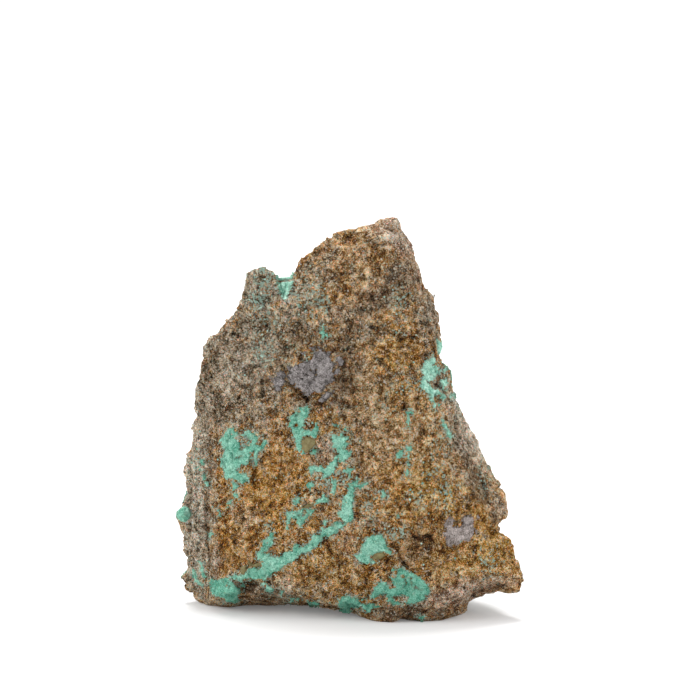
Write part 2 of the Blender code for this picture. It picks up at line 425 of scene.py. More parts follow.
FRONT_SPOTS: dict[Tone, tuple[Spot, ...]] = {
    Tone.GREY: (
        Spot(-26, 50, 5, 9, 0.9), Spot(-20, 60, 6, 8, 0.7), Spot(-12, 66, 4, 5, 0.5),
        Spot(-18.5, 69, 3, 4, 0.8), Spot(-20, 46, 6, 4, 0.4), Spot(-31, 20, 2.6, 17),
        Spot(-2, 49, 2.5, 7, 0.3), Spot(-14, 52, 4, 5, 0.25), Spot(15.5, 62, 2, 5, 0.7),
        Spot(4, 59, 4, 2, 0.6), Spot(22, 40, 2, 5, 0.5), Spot(20, 6, 5, 2, 0.5), Spot(-5, 37, 2, 2, 0.5),
        Spot(-8, 7.5, 5, 1.5, 0.5),
    ),
    # Dark stains, and painted shade: in the grooves beside the right strip and the left flank, under the upper
    # grey crust, in the hollow under the lower left ledge and along the base.
    Tone.DARK_AND_SHADE: (
        Spot(10.2, 71.2, 1.9, 2.0, 1.4), Spot(9.4, 69.0, 1.8, 1.1, 1.3), Spot(12.4, 69.6, 1.0, 0.9, 1.1),
        Spot(6.2, 65.2, 2.8, 1.3, 1.4), Spot(7.2, 67.4, 1.4, 1.1, 1.1), Spot(1.4, 60.5, 1.8, 0.9, 0.9),
        Spot(11.0, 67.4, 0.8, 0.8), Spot(8.8, 77.0, 1.2, 0.8, 0.6), Spot(16.2, 63.0, 0.8, 2.6, 0.8),
        Spot(-5.6, 74.2, 1.4, 0.9, 0.5), Spot(3.0, 63.2, 1.6, 0.8, 0.6), Spot(2.6, 66.6, 0.9, 1.4, 0.4),
        Spot(3.8, 58.8, 1.8, 1.4, 0.5), Spot(-1.0, 50, 2.2, 6.0, 0.95), Spot(-7, 57.8, 4.5, 1.7, 0.85),
        Spot(-8, 44.8, 4.0, 1.3, 0.85), Spot(-12.6, 57.0, 2.6, 1.4, 0.5),
        Spot(-14.8, 53.4, 1.8, 1.8, 0.45), Spot(-11.0, 60.4, 2.4, 1.0, 0.35),
        Spot(-22.0, 52.6, 1.2, 1.8, 0.3), Spot(-26.4, 43.4, 2.2, 1.6, 0.35),
        Spot(6.4, 49.2, 1.8, 1.5, 0.6), Spot(-28.4, 52, 1.6, 4.0, 0.5), Spot(-29, 36.4, 1.6, 1.6, 0.6),
        Spot(14.6, 16.4, 3.6, 3.0, 0.5), Spot(11.4, 13.0, 1.4, 2.0, 0.5),
        Spot(26.2, 27.4, 1.6, 3.8, 1.2, 25), Spot(23.4, 33.4, 1.0, 2.4, 0.9, 25),
        Spot(21.0, 39.0, 0.6, 3.0, 0.7, 20), Spot(28.6, 21.6, 0.7, 1.4, 0.9),
        Spot(26.4, 40.6, 0.9, 4.0, 0.7, 22), Spot(29.4, 32.4, 0.7, 3.0, 0.7, 25),
        Spot(12.6, 18.0, 4.0, 3.0, 0.5), Spot(12.0, 25.0, 2.0, 1.4, 0.3), Spot(-28.8, 22.0, 0.7, 5.0, 0.6),
        Spot(-28.0, 14.0, 0.6, 3.0, 0.6), Spot(-20, 8.6, 2.6, 1.1, 1.3), Spot(-17, 7.6, 2.0, 0.8, 0.9),
        Spot(12, 0.9, 8.0, 0.7, 1.2), Spot(18.2, 48.3, 1.6, 2.2, 0.8), Spot(19.0, 51.2, 1.0, 1.0, 0.5),
        Spot(-14, 4.6, 12.0, 0.6, 0.8), Spot(10, 2.8, 7.0, 1.2, 0.9), Spot(15, 58.5, 1.2, 1.5, 0.5),
        Spot(15.9, 64, 1.0, 2.2, 0.4), Spot(17.2, 48.6, 1.0, 0.9), Spot(-24, 14.2, 1.4, 1.0, 0.5),
        Spot(-19.2, 34.2, 2.0, 0.7, 0.6), Spot(2.0, 77, 2.0, 1.6, 0.35), Spot(-3, 75.5, 2.0, 1.6, 0.3),
        Spot(5.4, 78, 1.4, 1.2, 0.4), Spot(-9.6, 17.2, 0.5, 0.4, 0.9), Spot(1.0, 36, 1.6, 3.0, 0.4),
        Spot(2.4, 32, 1.0, 1.6, 0.5), Spot(-12.2, 34.0, 1.6, 0.7, 0.5), Spot(20.6, 36.8, 0.7, 1.0, 0.5),
        Spot(-16, 6.0, 6.0, 0.7, 0.5), Spot(-27, 24.0, 1.2, 2.0, 0.4), Spot(-20, 61, 3.0, 2.0, 0.3),
        Spot(-22, 56.4, 1.4, 0.5, 0.4),
    ),
    Tone.PINK: (
        Spot(8.4, 80, 3.4, 2.0), Spot(9.5, 78, 2.6, 2.4, 0.8), Spot(22, 6.8, 4.5, 1.4, 1.0, 15),
        Spot(24.2, 37.5, 6.5, 1.5, 0.7, -65), Spot(11.6, 76, 1.4, 3.6), Spot(14.2, 71, 1.0, 3.0, 0.8),
        Spot(20, 6.2, 5.0, 1.6), Spot(28, 9.4, 5.0, 1.0, 0.8), Spot(0, 74, 3.0, 2.0, 0.3),
        Spot(-4.5, 34.5, 2.0, 2.5, 0.4), Spot(-1.0, 18, 2.5, 3.0, 0.35), Spot(16.6, 62, 0.8, 2.0, 0.5),
        Spot(21.5, 31, 2.0, 1.2, 0.4), Spot(-26.6, 12.5, 0.8, 2.5, 0.6), Spot(3.5, 67, 2.5, 2.0, 0.3),
    ),
    # Pale rock, and painted light down the left flank, made paler where it is lit from the left.
    Tone.PALE_AND_LIT: (
        Spot(-1.6, 63, 3.4, 1.3, 0.6), Spot(23.6, 39, 6.5, 1.7, 0.9, -65), Spot(-30.4, 38, 1.7, 6.0, 1.3),
        Spot(9.4, 79, 2.6, 2.2, 0.5), Spot(-31.0, 21, 1.8, 8.0, 1.0), Spot(8.4, 70.8, 1.4, 0.8, 0.9),
        Spot(23.2, 38.6, 1.8, 2.6, 0.8, -30), Spot(24, 35.6, 2.0, 0.8, 0.8),
        Spot(29.6, 24.2, 1.0, 1.5, 0.9), Spot(-31.4, 26, 1.4, 5.0, 1.2), Spot(-31.4, 16, 1.3, 5.0, 1.2),
        Spot(-20.4, 52.0, 2.0, 5.0, 0.45, -40), Spot(-26.9, 13.6, 0.4, 3.4, 0.9),
        Spot(21.4, 44.4, 0.7, 2.4, 0.8, 20), Spot(25.4, 37.0, 1.2, 2.2, 0.9, 25),
        Spot(2.4, 52.4, 1.0, 2.0, 0.4), Spot(-18, 52, 4.0, 4.0, 0.35), Spot(-24, 57, 3.0, 2.0, 0.4),
        Spot(-28.6, 56.6, 1.2, 1.0, 0.8), Spot(-13, 9.0, 2.0, 1.4, 0.6), Spot(12, 6.0, 2.4, 0.9, 0.7),
        Spot(-21, 22, 1.5, 2.5, 0.4), Spot(3.0, 71, 2.0, 1.5, 0.3), Spot(-5, 70, 3.0, 2.0, 0.3),
    ),
    # Tan rock, with the strongest spots in the middle partly a painted highlight on the top of the bump there.
    Tone.TAN: (
        Spot(5.6, 39, 3.2, 5.0, 1.3), Spot(4.2, 45, 1.8, 3.5, 1.1), Spot(7.6, 35.6, 1.8, 2.0, 0.7),
        Spot(13, 40, 3.4, 5.5, 0.9), Spot(2.6, 50, 2.0, 6.0, 0.7), Spot(2, 60, 3.0, 4.0, 0.6),
        Spot(3, 70, 4.0, 3.0, 0.3), Spot(19, 34, 3.0, 3.0, 0.4), Spot(30, 10.5, 3.0, 2.0, 0.5),
        Spot(18, 10, 3.0, 2.0, 0.4),
    ),
    Tone.RUST: (
        Spot(26.4, 26, 2.0, 4.0, 0.9), Spot(13, 17, 4.0, 3.0, 0.9), Spot(12, 30, 5.0, 6.0, 0.4),
        Spot(-8, 9, 5.0, 2.0, 0.4), Spot(-19, 27, 6.0, 5.5), Spot(-16, 26, 3.0, 3.0, 0.8),
        Spot(-24.5, 15.5, 3.2, 3.4), Spot(-12.5, 33, 3.0, 3.4, 0.8), Spot(-22.8, 61.2, 0.6, 1.3),
        Spot(13, 32, 6.0, 4.0, 0.5), Spot(14, 42, 4.0, 6.0, 0.5), Spot(21, 12, 4.5, 2.6, 0.8),
        Spot(31, 14, 3.0, 5.0, 0.7), Spot(28, 18, 4.0, 4.0, 0.6), Spot(1, 70, 5.0, 5.0, 0.45),
        Spot(10, 56, 4.0, 4.0, 0.5), Spot(3.6, 52, 2.4, 5.0, 0.5), Spot(-6, 14, 6.0, 5.0, 0.55),
        Spot(11, 22, 6.0, 4.0, 0.45), Spot(-14.6, 68.2, 0.6, 1.5), Spot(16.4, 55, 0.7, 1.6, 0.7),
        Spot(-20, 19, 4.0, 4.0, 0.6), Spot(5, 11, 3.0, 4.0, 0.5), Spot(-8, 42, 3.0, 2.0, 0.6),
        Spot(8, 61, 2.0, 2.0, 0.5), Spot(-30, 55, 0.5, 3.0, 0.6), Spot(22, 22, 5.0, 5.0, 0.4),
        Spot(-11, 21, 5.0, 2.0, 0.5),
    ),
    Tone.OCHRE: (
        Spot(15, 28, 4.0, 4.0), Spot(19, 30, 3.0, 3.0, 0.8), Spot(18, 11, 5.0, 3.0),
        Spot(28, 15, 4.0, 4.0, 0.8), Spot(8, 43, 3.0, 4.0, 0.7), Spot(14, 44, 2.5, 5.0, 0.7),
        Spot(6, 36, 3.0, 4.0, 0.7), Spot(9, 52, 3.0, 5.0, 0.6), Spot(-6, 13, 5.0, 4.0, 0.6),
        Spot(-11, 8, 3.0, 2.0, 0.5), Spot(3, 9, 3.0, 3.0, 0.5), Spot(-3, 41, 2.0, 2.0, 0.7),
        Spot(2, 71, 4.0, 3.0, 0.5), Spot(-16, 26, 3.0, 4.0, 0.4), Spot(13, 37, 3.0, 3.0, 0.6),
        Spot(4, 56, 2.5, 3.0, 0.5), Spot(22, 24, 3.0, 3.0, 0.5), Spot(-10, 30, 2.0, 2.0, 0.4),
    ),
    Tone.TEAL: (
        Spot(-17, 71.2, 1.8, 0.7), Spot(-17.6, 67.6, 1.8, 2.0, 0.7), Spot(-18.4, 65.2, 1.2, 0.9, 0.8),
        Spot(-17.4, 55.2, 1.7, 2.2, 0.7), Spot(-8.6, 66, 2.4, 3.2, 0.45), Spot(9.6, 65.4, 1.6, 1.6, 0.5),
        Spot(-5.4, 65.4, 1.2, 2.2, 0.55), Spot(9.2, 59, 1.8, 1.6, 0.35), Spot(17.0, 31.2, 1.6, 1.0, 0.6),
        Spot(19.6, 28.0, 1.6, 1.4, 0.5), Spot(27.6, 13.4, 2.0, 3.0, 0.45), Spot(13.0, 26.4, 2.0, 1.6, 0.4),
        Spot(11, 49, 3.0, 3.0, 0.2), Spot(4, 24, 2.0, 3.0, 0.4), Spot(9, 19, 1.8, 1.0, 0.8),
        Spot(7, 45, 1.4, 1.4, 0.4), Spot(18, 25.2, 2.2, 1.4, 0.4), Spot(-10, 54, 3.0, 3.0, 0.15),
        Spot(17.4, 36, 2.0, 3.0, 0.35), Spot(-21.2, 37.4, 1.6, 1.2, 1.2), Spot(-19.6, 34.2, 0.8, 1.6, 0.8),
        Spot(-18.4, 36.8, 1.0, 1.0, 0.7), Spot(-5.0, 28.6, 1.6, 1.6, 0.5), Spot(27, 30, 1.2, 4.0, 0.35),
        Spot(-17, 61, 3.0, 3.0, 0.25), Spot(-8.6, 28.3, 0.9, 0.9, 0.8), Spot(-1.8, 30.6, 1.4, 1.4, 0.5),
        Spot(21.2, 43.0, 0.8, 2.6, 0.4), Spot(-15.6, 20.4, 1.6, 1.6, 0.5), Spot(-30, 32, 1.5, 3.0, 0.5),
    ),
}


@dataclass(frozen=True)
class Recess:
    """A place on the front where the stone is sunken, or stands out where its depth is negative.

    It has an outline, or runs along a chain of discs.
    """

    depth: float
    slope: float
    outline: Outline = ()
    chain: Chain = ()

    def cover(self, across: Array, up: Array) -> Array:
        """Its depth at places of the sheet, eased in over its slope."""
        if self.outline:
            inside = outline_depth((self.outline,), across, up)
        else:
            inside = chain_depth((self.chain,), across, up)
        return self.depth * ease(-0.25, self.slope, inside)


@dataclass(frozen=True)
class Nudge:
    """A place on the front where the stone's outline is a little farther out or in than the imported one's."""

    across: float
    up: float
    reach: float
    push_across: float
    push_up: float

    def move(self, across: Array, up: Array) -> Array:
        """How far points move: the push times exp of minus the squared distance over the reach."""
        share = np.exp(-((across - self.across) ** 2 + (up - self.up) ** 2) / self.reach ** 2)
        sheet = SHEETS[Side.FRONT]
        push = self.push_across * np.array(sheet.right) + self.push_up * np.array(sheet.up)
        return share[:, None] * push


NUDGES: tuple[Nudge, ...] = (
    Nudge(-2.0, 79.0, 3.0, 0.0, -0.4), Nudge(-5.6, 77.5, 2.5, 0.1, -0.3), Nudge(-8.0, 75.0, 2.0, 0.1, -0.3),
    Nudge(10.7, 80.2, 1.4, -0.3, -0.8), Nudge(17.9, 57.5, 2.0, -0.7, 0.0), Nudge(18.3, 54.0, 1.5, -0.5, 0.0),
    Nudge(24.5, 38.5, 2.5, 0.5, 0.0), Nudge(29.8, 26.5, 2.8, 1.3, 0.0), Nudge(29.9, 22.8, 1.6, 0.6, 0.0),
    Nudge(31.5, 17.6, 2.0, 0.6, 0.0), Nudge(29.0, 7.6, 2.5, 0.0, 0.8), Nudge(25.5, 6.0, 1.8, -0.6, 0.8),
    Nudge(24.0, 4.5, 1.8, -1.2, 0.3), Nudge(8.4, 2.2, 1.6, 0.0, 0.7), Nudge(-32.5, 29.5, 2.0, -0.5, 0.0),
    Nudge(-33.2, 19.0, 2.5, -0.6, 0.0), Nudge(-33.2, 11.4, 1.0, 0.7, 0.0), Nudge(-32.0, 8.0, 1.2, -0.5, 0.0),
    Nudge(-30.0, 47.5, 3.0, -0.4, 0.0), Nudge(-27.3, 5.2, 1.2, -0.5, -0.3),
)

NOTCH_RIM = ((-15.9, 90.0), (-15.5, 71.9), (-15.1, 69.4), (-12.5, 69.1), (-12.2, 69.9), (-11.2, 70.9),
             (-10.2, 72.2), (-9.8, 90.0))

RECESSES: tuple[Recess, ...] = (
    # the groove of the notch
    Recess(1.6, 0.7, ((-15.3, 72.0), (-11.2, 72.0), (-11.7, 68.2), (-13.0, 65.2), (-14.4, 67.8))),
    # the hollow under the ledge at the lower left
    Recess(2.2, 0.9, ((-23.4, 9.0), (-21.4, 9.4), (-18.4, 9.4), (-17.6, 8.7), (-19.4, 7.0), (-22.2, 6.8))),
    # the undercut rim below the upper grey crust
    Recess(0.8, 0.35, ((-12.2, 49.6), (-11.8, 49.6), (-10.2, 48.2), (-8.9, 46.9), (-7.9, 46.4), (-7.5, 45.6),
                       (-8.4, 45.2), (-10.6, 46.9), (-12.6, 48.9))),
    Recess(0.7, 0.3, ((-4.9, 49.0), (-3.9, 49.6), (-3.8, 48.2), (-4.6, 47.8))),
    # dark holes beside the patch on the right
    Recess(1.0, 0.4, ((16.3, 49.0), (17.0, 49.4), (18.0, 48.9), (18.4, 47.2), (17.6, 47.3), (16.4, 48.0))),
    # the recess behind the lower right corner
    Recess(1.2, 1.0, ((25.4, 29.5), (27.0, 29.0), (27.8, 26.0), (26.6, 24.6), (25.6, 26.6))),
    # the crack above the pair of patches
    Recess(0.7, 0.2, ((9.3, 16.0), (9.7, 15.9), (10.4, 13.9), (11.9, 12.4), (11.6, 12.0), (10.0, 13.6))),
    # the groove below the middle
    Recess(0.5, 0.4, ((-6.0, 11.6), (-4.0, 11.2), (-1.8, 10.4), (-2.0, 9.8), (-4.4, 10.4), (-6.2, 11.0))),
    # the groove between the front and the left flank, and the ridges on both its sides
    Recess(0.7, 0.4, chain=((-29.0, 31.0, 0.3), (-28.6, 24.0, 0.5), (-28.2, 17.0, 0.5), (-27.9, 11.5, 0.3))),
    Recess(-0.5, 0.5, chain=((-31.0, 33.0, 0.4), (-31.4, 24.0, 0.6), (-31.0, 14.0, 0.5))),
    Recess(-0.4, 0.3, chain=((-26.8, 17.5, 0.2), (-27.0, 12.0, 0.3))),
    # the groove that the strip on the right stands behind
    Recess(0.9, 0.6, chain=((20.6, 42.0, 0.2), (21.8, 38.0, 0.4), (23.4, 34.0, 0.6), (25.6, 29.5, 0.8),
                            (27.2, 25.5, 0.7), (28.6, 21.5, 0.4))),
    # the valley down the middle, and the ridge right of it
    Recess(0.7, 1.5, chain=((-1.6, 54.0, 0.8), (-1.2, 48.0, 1.2), (-1.5, 43.0, 0.8), (0.8, 38.0, 0.6),
                            (1.4, 33.0, 0.5))),
    Recess(-0.6, 1.5, chain=((3.6, 47.0, 0.8), (5.5, 41.0, 1.2), (8.0, 35.0, 1.0))),
    # the hollow around the upper grey crust
    Recess(0.5, 1.5, chain=((-12.0, 47.5, 1.0), (-6.0, 44.5, 1.2), (-2.6, 48.0, 1.0))),
)

FRONT_AJOITE: tuple[Outline, ...] = (
    # the broad patch on the left, with its arms and its trail
    ((-24.3, 39.7), (-23.1, 39.9), (-22.7, 39.1), (-21.5, 38.6), (-20.5, 39.6), (-19.5, 39.3),
     (-18.8, 38.9), (-18.4, 38.0), (-18.7, 36.8), (-17.9, 36.4), (-16.7, 37.9), (-16.5, 37.1),
     (-17.6, 35.5), (-18.4, 34.9), (-18.5, 33.6), (-18.3, 32.6), (-19.1, 32.4), (-19.2, 35.2),
     (-19.9, 35.3), (-19.9, 33.4), (-20.4, 32.8), (-21.7, 32.5), (-22.7, 31.7), (-21.9, 30.9),
     (-20.6, 30.9), (-20.1, 30.1), (-20.4, 29.2), (-21.2, 28.9), (-23.0, 29.7), (-24.7, 29.9),
     (-25.1, 31.1), (-25.9, 32.8), (-25.7, 34.0), (-25.0, 34.7), (-25.1, 35.9), (-26.0, 37.5),
     (-25.2, 38.3), (-24.8, 39.1)),
    ((-23.6, 29.3), (-22.9, 28.8), (-22.2, 28.6), (-22.6, 27.8), (-23.3, 27.4), (-23.4, 28.3)),
    ((-23.3, 27.0), (-22.2, 26.9), (-22.4, 26.2), (-23.1, 26.3)),
    ((-23.2, 26.0), (-24.5, 25.2), (-24.3, 24.1), (-23.7, 24.8)),
    ((-26.6, 24.2), (-26.1, 22.4), (-25.9, 22.5), (-26.2, 23.9)),
    # flecks down the left edge
    ((-29.9, 34.0), (-29.3, 33.5), (-29.2, 32.3), (-29.9, 32.5)),
    ((-30.3, 32.1), (-29.7, 32.0), (-29.9, 31.2)),
    ((-29.6, 30.4), (-28.8, 30.3), (-28.6, 29.6), (-29.4, 29.7)),
    ((-28.9, 29.2), (-28.2, 29.0), (-28.4, 28.2), (-28.9, 28.4)),
    ((-28.7, 18.0), (-28.1, 18.8), (-27.9, 19.2), (-27.4, 18.8), (-27.6, 18.3), (-28.2, 18.0)),
    ((-30.3, 13.2), (-29.6, 12.8), (-29.2, 11.2), (-28.8, 10.2), (-29.3, 10.1), (-29.9, 11.4)),
    ((-31.6, 11.8), (-31.0, 11.6), (-30.6, 9.6), (-29.4, 8.6), (-30.0, 8.0), (-31.4, 9.8)),
    # the long slanting vein, from its upper end along the top and back along the bottom
    ((-1.0, 20.9), (-1.8, 21.2), (-2.8, 21.7), (-3.8, 20.6), (-4.7, 20.1), (-5.6, 20.1), (-6.0, 18.9),
     (-7.7, 18.8), (-7.7, 17.5), (-9.0, 16.6), (-9.6, 16.1), (-10.8, 17.1), (-11.4, 16.6), (-11.5, 15.6),
     (-13.0, 15.2), (-14.2, 14.2), (-15.2, 14.1), (-15.7, 14.7), (-17.0, 15.1), (-15.6, 16.6),
     (-15.1, 18.4), (-15.7, 19.4), (-16.4, 18.2), (-17.3, 17.8), (-17.5, 16.2), (-18.4, 15.0),
     (-18.5, 14.1), (-18.0, 13.2), (-17.1, 12.6), (-18.0, 12.0), (-20.4, 12.1), (-20.9, 10.8),
     (-23.4, 10.6), (-24.9, 10.0), (-22.6, 9.7), (-21.7, 9.1), (-21.3, 9.9), (-18.0, 9.8), (-17.1, 9.5),
     (-15.6, 11.0), (-13.8, 11.8), (-12.4, 13.1), (-11.3, 13.5), (-9.8, 14.9), (-8.0, 15.4), (-6.3, 16.8),
     (-5.7, 17.6), (-5.0, 18.4), (-3.8, 18.5), (-2.1, 19.7)),
    ((-18.2, 9.3), (-17.0, 9.2), (-16.1, 8.4), (-15.1, 7.9), (-15.8, 7.1), (-16.8, 7.3), (-16.7, 8.0)),
    ((-21.4, 9.0), (-21.0, 8.6), (-21.3, 8.0), (-21.8, 8.4)),
    ((-13.9, 7.8), (-13.4, 7.6), (-13.6, 6.4), (-14.0, 6.5)),
    ((-12.1, 6.1), (-11.3, 6.0), (-11.3, 5.2), (-12.0, 5.2)), ((-10.9, 6.0), (-10.1, 5.9), (-10.4, 5.4)),
    # the upright band that meets it, and its arm to the right
    ((-0.4, 28.9), (1.0, 29.5), (1.8, 29.9), (1.7, 29.0), (3.0, 29.2), (3.8, 29.4), (3.7, 28.9),
     (2.2, 28.1), (0.9, 28.3), (0.8, 26.4), (0.4, 24.0), (0.7, 22.8), (0.6, 21.5), (-0.8, 21.1),
     (-2.0, 22.2), (-2.5, 23.2), (-1.6, 24.0), (-1.6, 25.6), (-1.0, 26.7), (-0.3, 27.1)),
    ((-1.6, 31.2), (-0.6, 32.2), (0.8, 32.0), (0.2, 31.4), (0.1, 30.2), (-0.4, 30.3), (-0.2, 31.3)),
    ((-5.2, 21.8), (-4.5, 21.8), (-4.9, 20.6), (-5.2, 20.6)),
    # the two bands left of it
    ((-12.8, 23.4), (-10.8, 23.4), (-9.0, 24.2), (-8.2, 23.7), (-7.0, 24.0), (-7.8, 22.8), (-8.6, 22.0),
     (-9.2, 21.1), (-9.9, 20.7), (-10.5, 21.0), (-10.8, 21.9), (-11.8, 22.0), (-12.2, 20.8), (-12.3, 19.8),
     (-12.9, 19.8), (-12.5, 22.2)),
    ((-5.2, 27.0), (-4.2, 26.0), (-4.3, 25.4), (-7.0, 24.8), (-6.6, 25.5)),
    ((-11.5, 25.8), (-10.9, 26.3), (-10.6, 25.9), (-9.7, 26.4), (-9.6, 25.8), (-10.4, 24.9), (-11.3, 24.7)),
    ((-8.7, 29.0), (-8.0, 29.5), (-7.0, 29.0), (-7.3, 28.2), (-8.0, 27.5)),
    ((-3.7, 30.0), (-2.9, 29.8), (-2.7, 28.0), (-2.9, 27.1), (-4.3, 26.8), (-3.4, 28.2)),
    ((-2.5, 33.9), (-2.4, 32.8), (-3.2, 31.3), (-3.9, 30.4), (-5.7, 30.0), (-5.1, 31.2), (-7.2, 31.6),
     (-7.4, 30.9), (-8.0, 30.9), (-8.1, 31.9), (-7.8, 32.5), (-5.7, 32.5), (-4.9, 31.9), (-3.6, 33.4),
     (-3.0, 34.0)),
    # the patch right of the middle
    ((-3.9, 38.4), (-3.6, 38.9), (-2.9, 38.8), (-2.5, 38.2), (-1.7, 39.1), (-1.1, 38.3), (0.1, 38.6),
     (-0.8, 37.4), (-0.2, 36.9), (-0.4, 36.2), (-1.1, 35.8), (0.2, 35.4), (-0.2, 34.3), (-1.3, 33.1),
     (-2.0, 33.3), (-2.5, 34.2), (-3.4, 33.1), (-2.3, 35.1), (-2.8, 35.8), (-3.8, 36.4), (-3.3, 37.0)),
    ((-0.9, 40.6), (-0.4, 40.4), (-0.5, 39.5), (-1.0, 39.7)),
    ((-3.4, 40.7), (-2.2, 40.6), (-2.4, 40.2), (-3.4, 40.4)),
    # the hook in the upper middle
    ((-10.0, 44.1), (-8.4, 44.4), (-7.9, 43.8), (-8.8, 41.7), (-9.0, 40.6), (-9.4, 40.3), (-9.1, 39.6),
     (-7.6, 39.7), (-7.0, 40.1), (-6.9, 41.0), (-6.2, 40.4), (-6.2, 39.1), (-7.1, 38.0), (-8.1, 38.4),
     (-9.0, 38.3), (-9.7, 37.6), (-9.6, 36.3), (-9.0, 34.8), (-9.8, 34.7), (-10.7, 36.0), (-11.0, 38.0),
     (-11.6, 39.6), (-12.2, 40.3), (-11.8, 42.2), (-11.3, 43.1), (-10.7, 43.4), (-9.9, 43.2)),
    ((-7.9, 34.8), (-7.8, 35.3), (-7.1, 35.9), (-6.4, 35.5), (-6.6, 34.9)),
    ((-5.6, 60.5), (-5.1, 60.2), (-5.2, 59.4), (-4.5, 59.0), (-4.3, 58.3), (-4.9, 58.6), (-5.3, 57.5),
     (-5.7, 57.8), (-5.4, 58.7), (-5.9, 59.0), (-5.4, 59.6)),
    # the thin vein below the pale patch
    ((18.2, 42.3), (18.6, 41.4), (20.1, 38.9), (20.2, 37.9), (19.7, 38.1), (18.4, 40.8)),
    # the dotted vein
    ((11.0, 43.3), (12.2, 43.6), (12.7, 43.0), (11.8, 42.8), (11.7, 40.2), (11.3, 40.2), (11.3, 42.5)),
    ((11.0, 36.4), (12.2, 36.3), (12.0, 35.5), (11.2, 35.6)),
    ((9.4, 35.2), (10.6, 35.9), (10.8, 35.0), (9.7, 33.8), (9.1, 34.1)),
    ((11.5, 35.2), (11.8, 35.1), (11.7, 32.6), (11.4, 32.7)),
    ((11.0, 32.1), (11.7, 31.9), (11.5, 30.5), (11.0, 30.8)),
    ((6.2, 27.8), (7.0, 27.6), (7.0, 26.2), (6.4, 26.4)), ((9.3, 23.0), (9.9, 22.8), (9.5, 22.3)),
    # the patch below the middle
    ((3.5, 18.2), (4.8, 18.8), (5.9, 18.9), (7.0, 18.1), (7.1, 16.6), (8.7, 15.3), (7.8, 14.9),
     (6.6, 15.6), (5.7, 15.4), (4.1, 14.6), (4.0, 14.0), (5.1, 13.4), (3.5, 12.8), (1.8, 13.4),
     (1.1, 14.7), (2.0, 15.2), (2.3, 16.8), (3.2, 17.6)),
)

FRONT_AJOITE_DEEP: tuple[Outline, ...] = (
    # the thick crust at the lower left
    ((-28.0, 9.6), (-26.0, 9.6), (-25.0, 10.0), (-24.2, 9.9), (-23.0, 8.6), (-22.2, 8.0), (-22.0, 7.2),
     (-22.7, 6.1), (-22.0, 5.4), (-22.6, 5.0), (-23.6, 5.2), (-25.0, 5.3), (-25.1, 6.0), (-27.0, 6.4),
     (-27.7, 7.1), (-28.1, 8.8)),
    # the pair at the lower right
    ((4.0, 6.4), (5.0, 8.3), (5.9, 9.4), (7.2, 9.5), (8.0, 8.2), (9.1, 8.2), (8.5, 9.2), (8.0, 10.5),
     (9.2, 10.2), (9.6, 12.2), (10.3, 12.5), (11.0, 11.7), (12.7, 11.1), (13.8, 10.4), (14.9, 9.5),
     (15.6, 8.3), (15.9, 7.3), (14.7, 5.9), (12.3, 5.0), (11.2, 5.3), (11.7, 6.3), (10.1, 6.9), (8.6, 6.5),
     (8.5, 5.8), (10.6, 5.0), (8.5, 4.9), (7.6, 5.7), (7.0, 7.2), (5.2, 6.4), (4.6, 5.7)),
    ((8.2, 12.0), (8.9, 12.2), (9.0, 11.6), (8.4, 11.5)),
    # the lower edge
    ((-2.4, 4.8), (-2.0, 5.9), (-1.1, 6.6), (1.3, 6.1), (3.3, 6.0), (1.6, 5.6), (2.4, 5.0), (5.8, 4.9),
     (5.6, 4.2), (4.6, 4.3), (4.0, 3.3), (3.2, 3.6), (2.4, 4.3), (0.5, 4.2), (-0.4, 3.4), (-1.7, 3.5)),
    ((-8.6, 5.5), (-6.0, 5.2), (-6.4, 4.5), (-8.3, 4.8)), ((13.4, 2.5), (14.7, 2.5), (14.3, 1.8)),
)

FRONT_AJOITE_PALE: tuple[Outline, ...] = (
    # the wall of the notch
    ((-15.2, 69.9), (-13.9, 70.6), (-12.2, 70.4), (-11.1, 70.4), (-11.6, 68.3), (-12.5, 66.1),
     (-13.0, 65.4), (-13.5, 66.0), (-14.3, 67.8), (-14.5, 68.9)),
    # the pale patch on the right
    ((14.9, 53.4), (15.7, 53.7), (16.6, 54.7), (17.0, 53.8), (16.8, 52.6), (17.4, 52.5), (18.2, 51.4),
     (17.8, 50.8), (17.0, 50.5), (16.9, 49.6), (15.2, 49.4), (16.3, 48.0), (17.2, 47.8), (18.0, 46.9),
     (16.7, 46.4), (16.6, 45.2), (16.0, 45.3), (15.7, 46.2), (16.0, 46.8), (15.0, 47.3), (14.0, 48.1),
     (14.0, 49.4), (14.6, 50.5), (14.2, 51.1), (14.3, 52.2)),
    ((18.1, 49.7), (19.2, 49.8), (19.5, 48.9), (19.0, 48.1), (19.2, 47.4), (18.4, 47.6), (18.4, 48.3),
     (17.9, 48.6)),
    ((18.6, 52.1), (19.2, 51.7), (18.9, 51.0), (18.5, 51.4)),
    ((18.0, 47.0), (18.6, 46.9), (19.3, 46.3), (18.5, 45.4), (18.0, 45.8)),
    ((19.7, 46.6), (20.3, 47.1), (20.7, 46.3), (20.2, 45.5)),
    ((16.5, 45.1), (17.0, 44.9), (17.0, 43.8), (16.7, 43.8)), ((17.6, 44.9), (18.1, 44.5), (17.7, 44.2)),
)

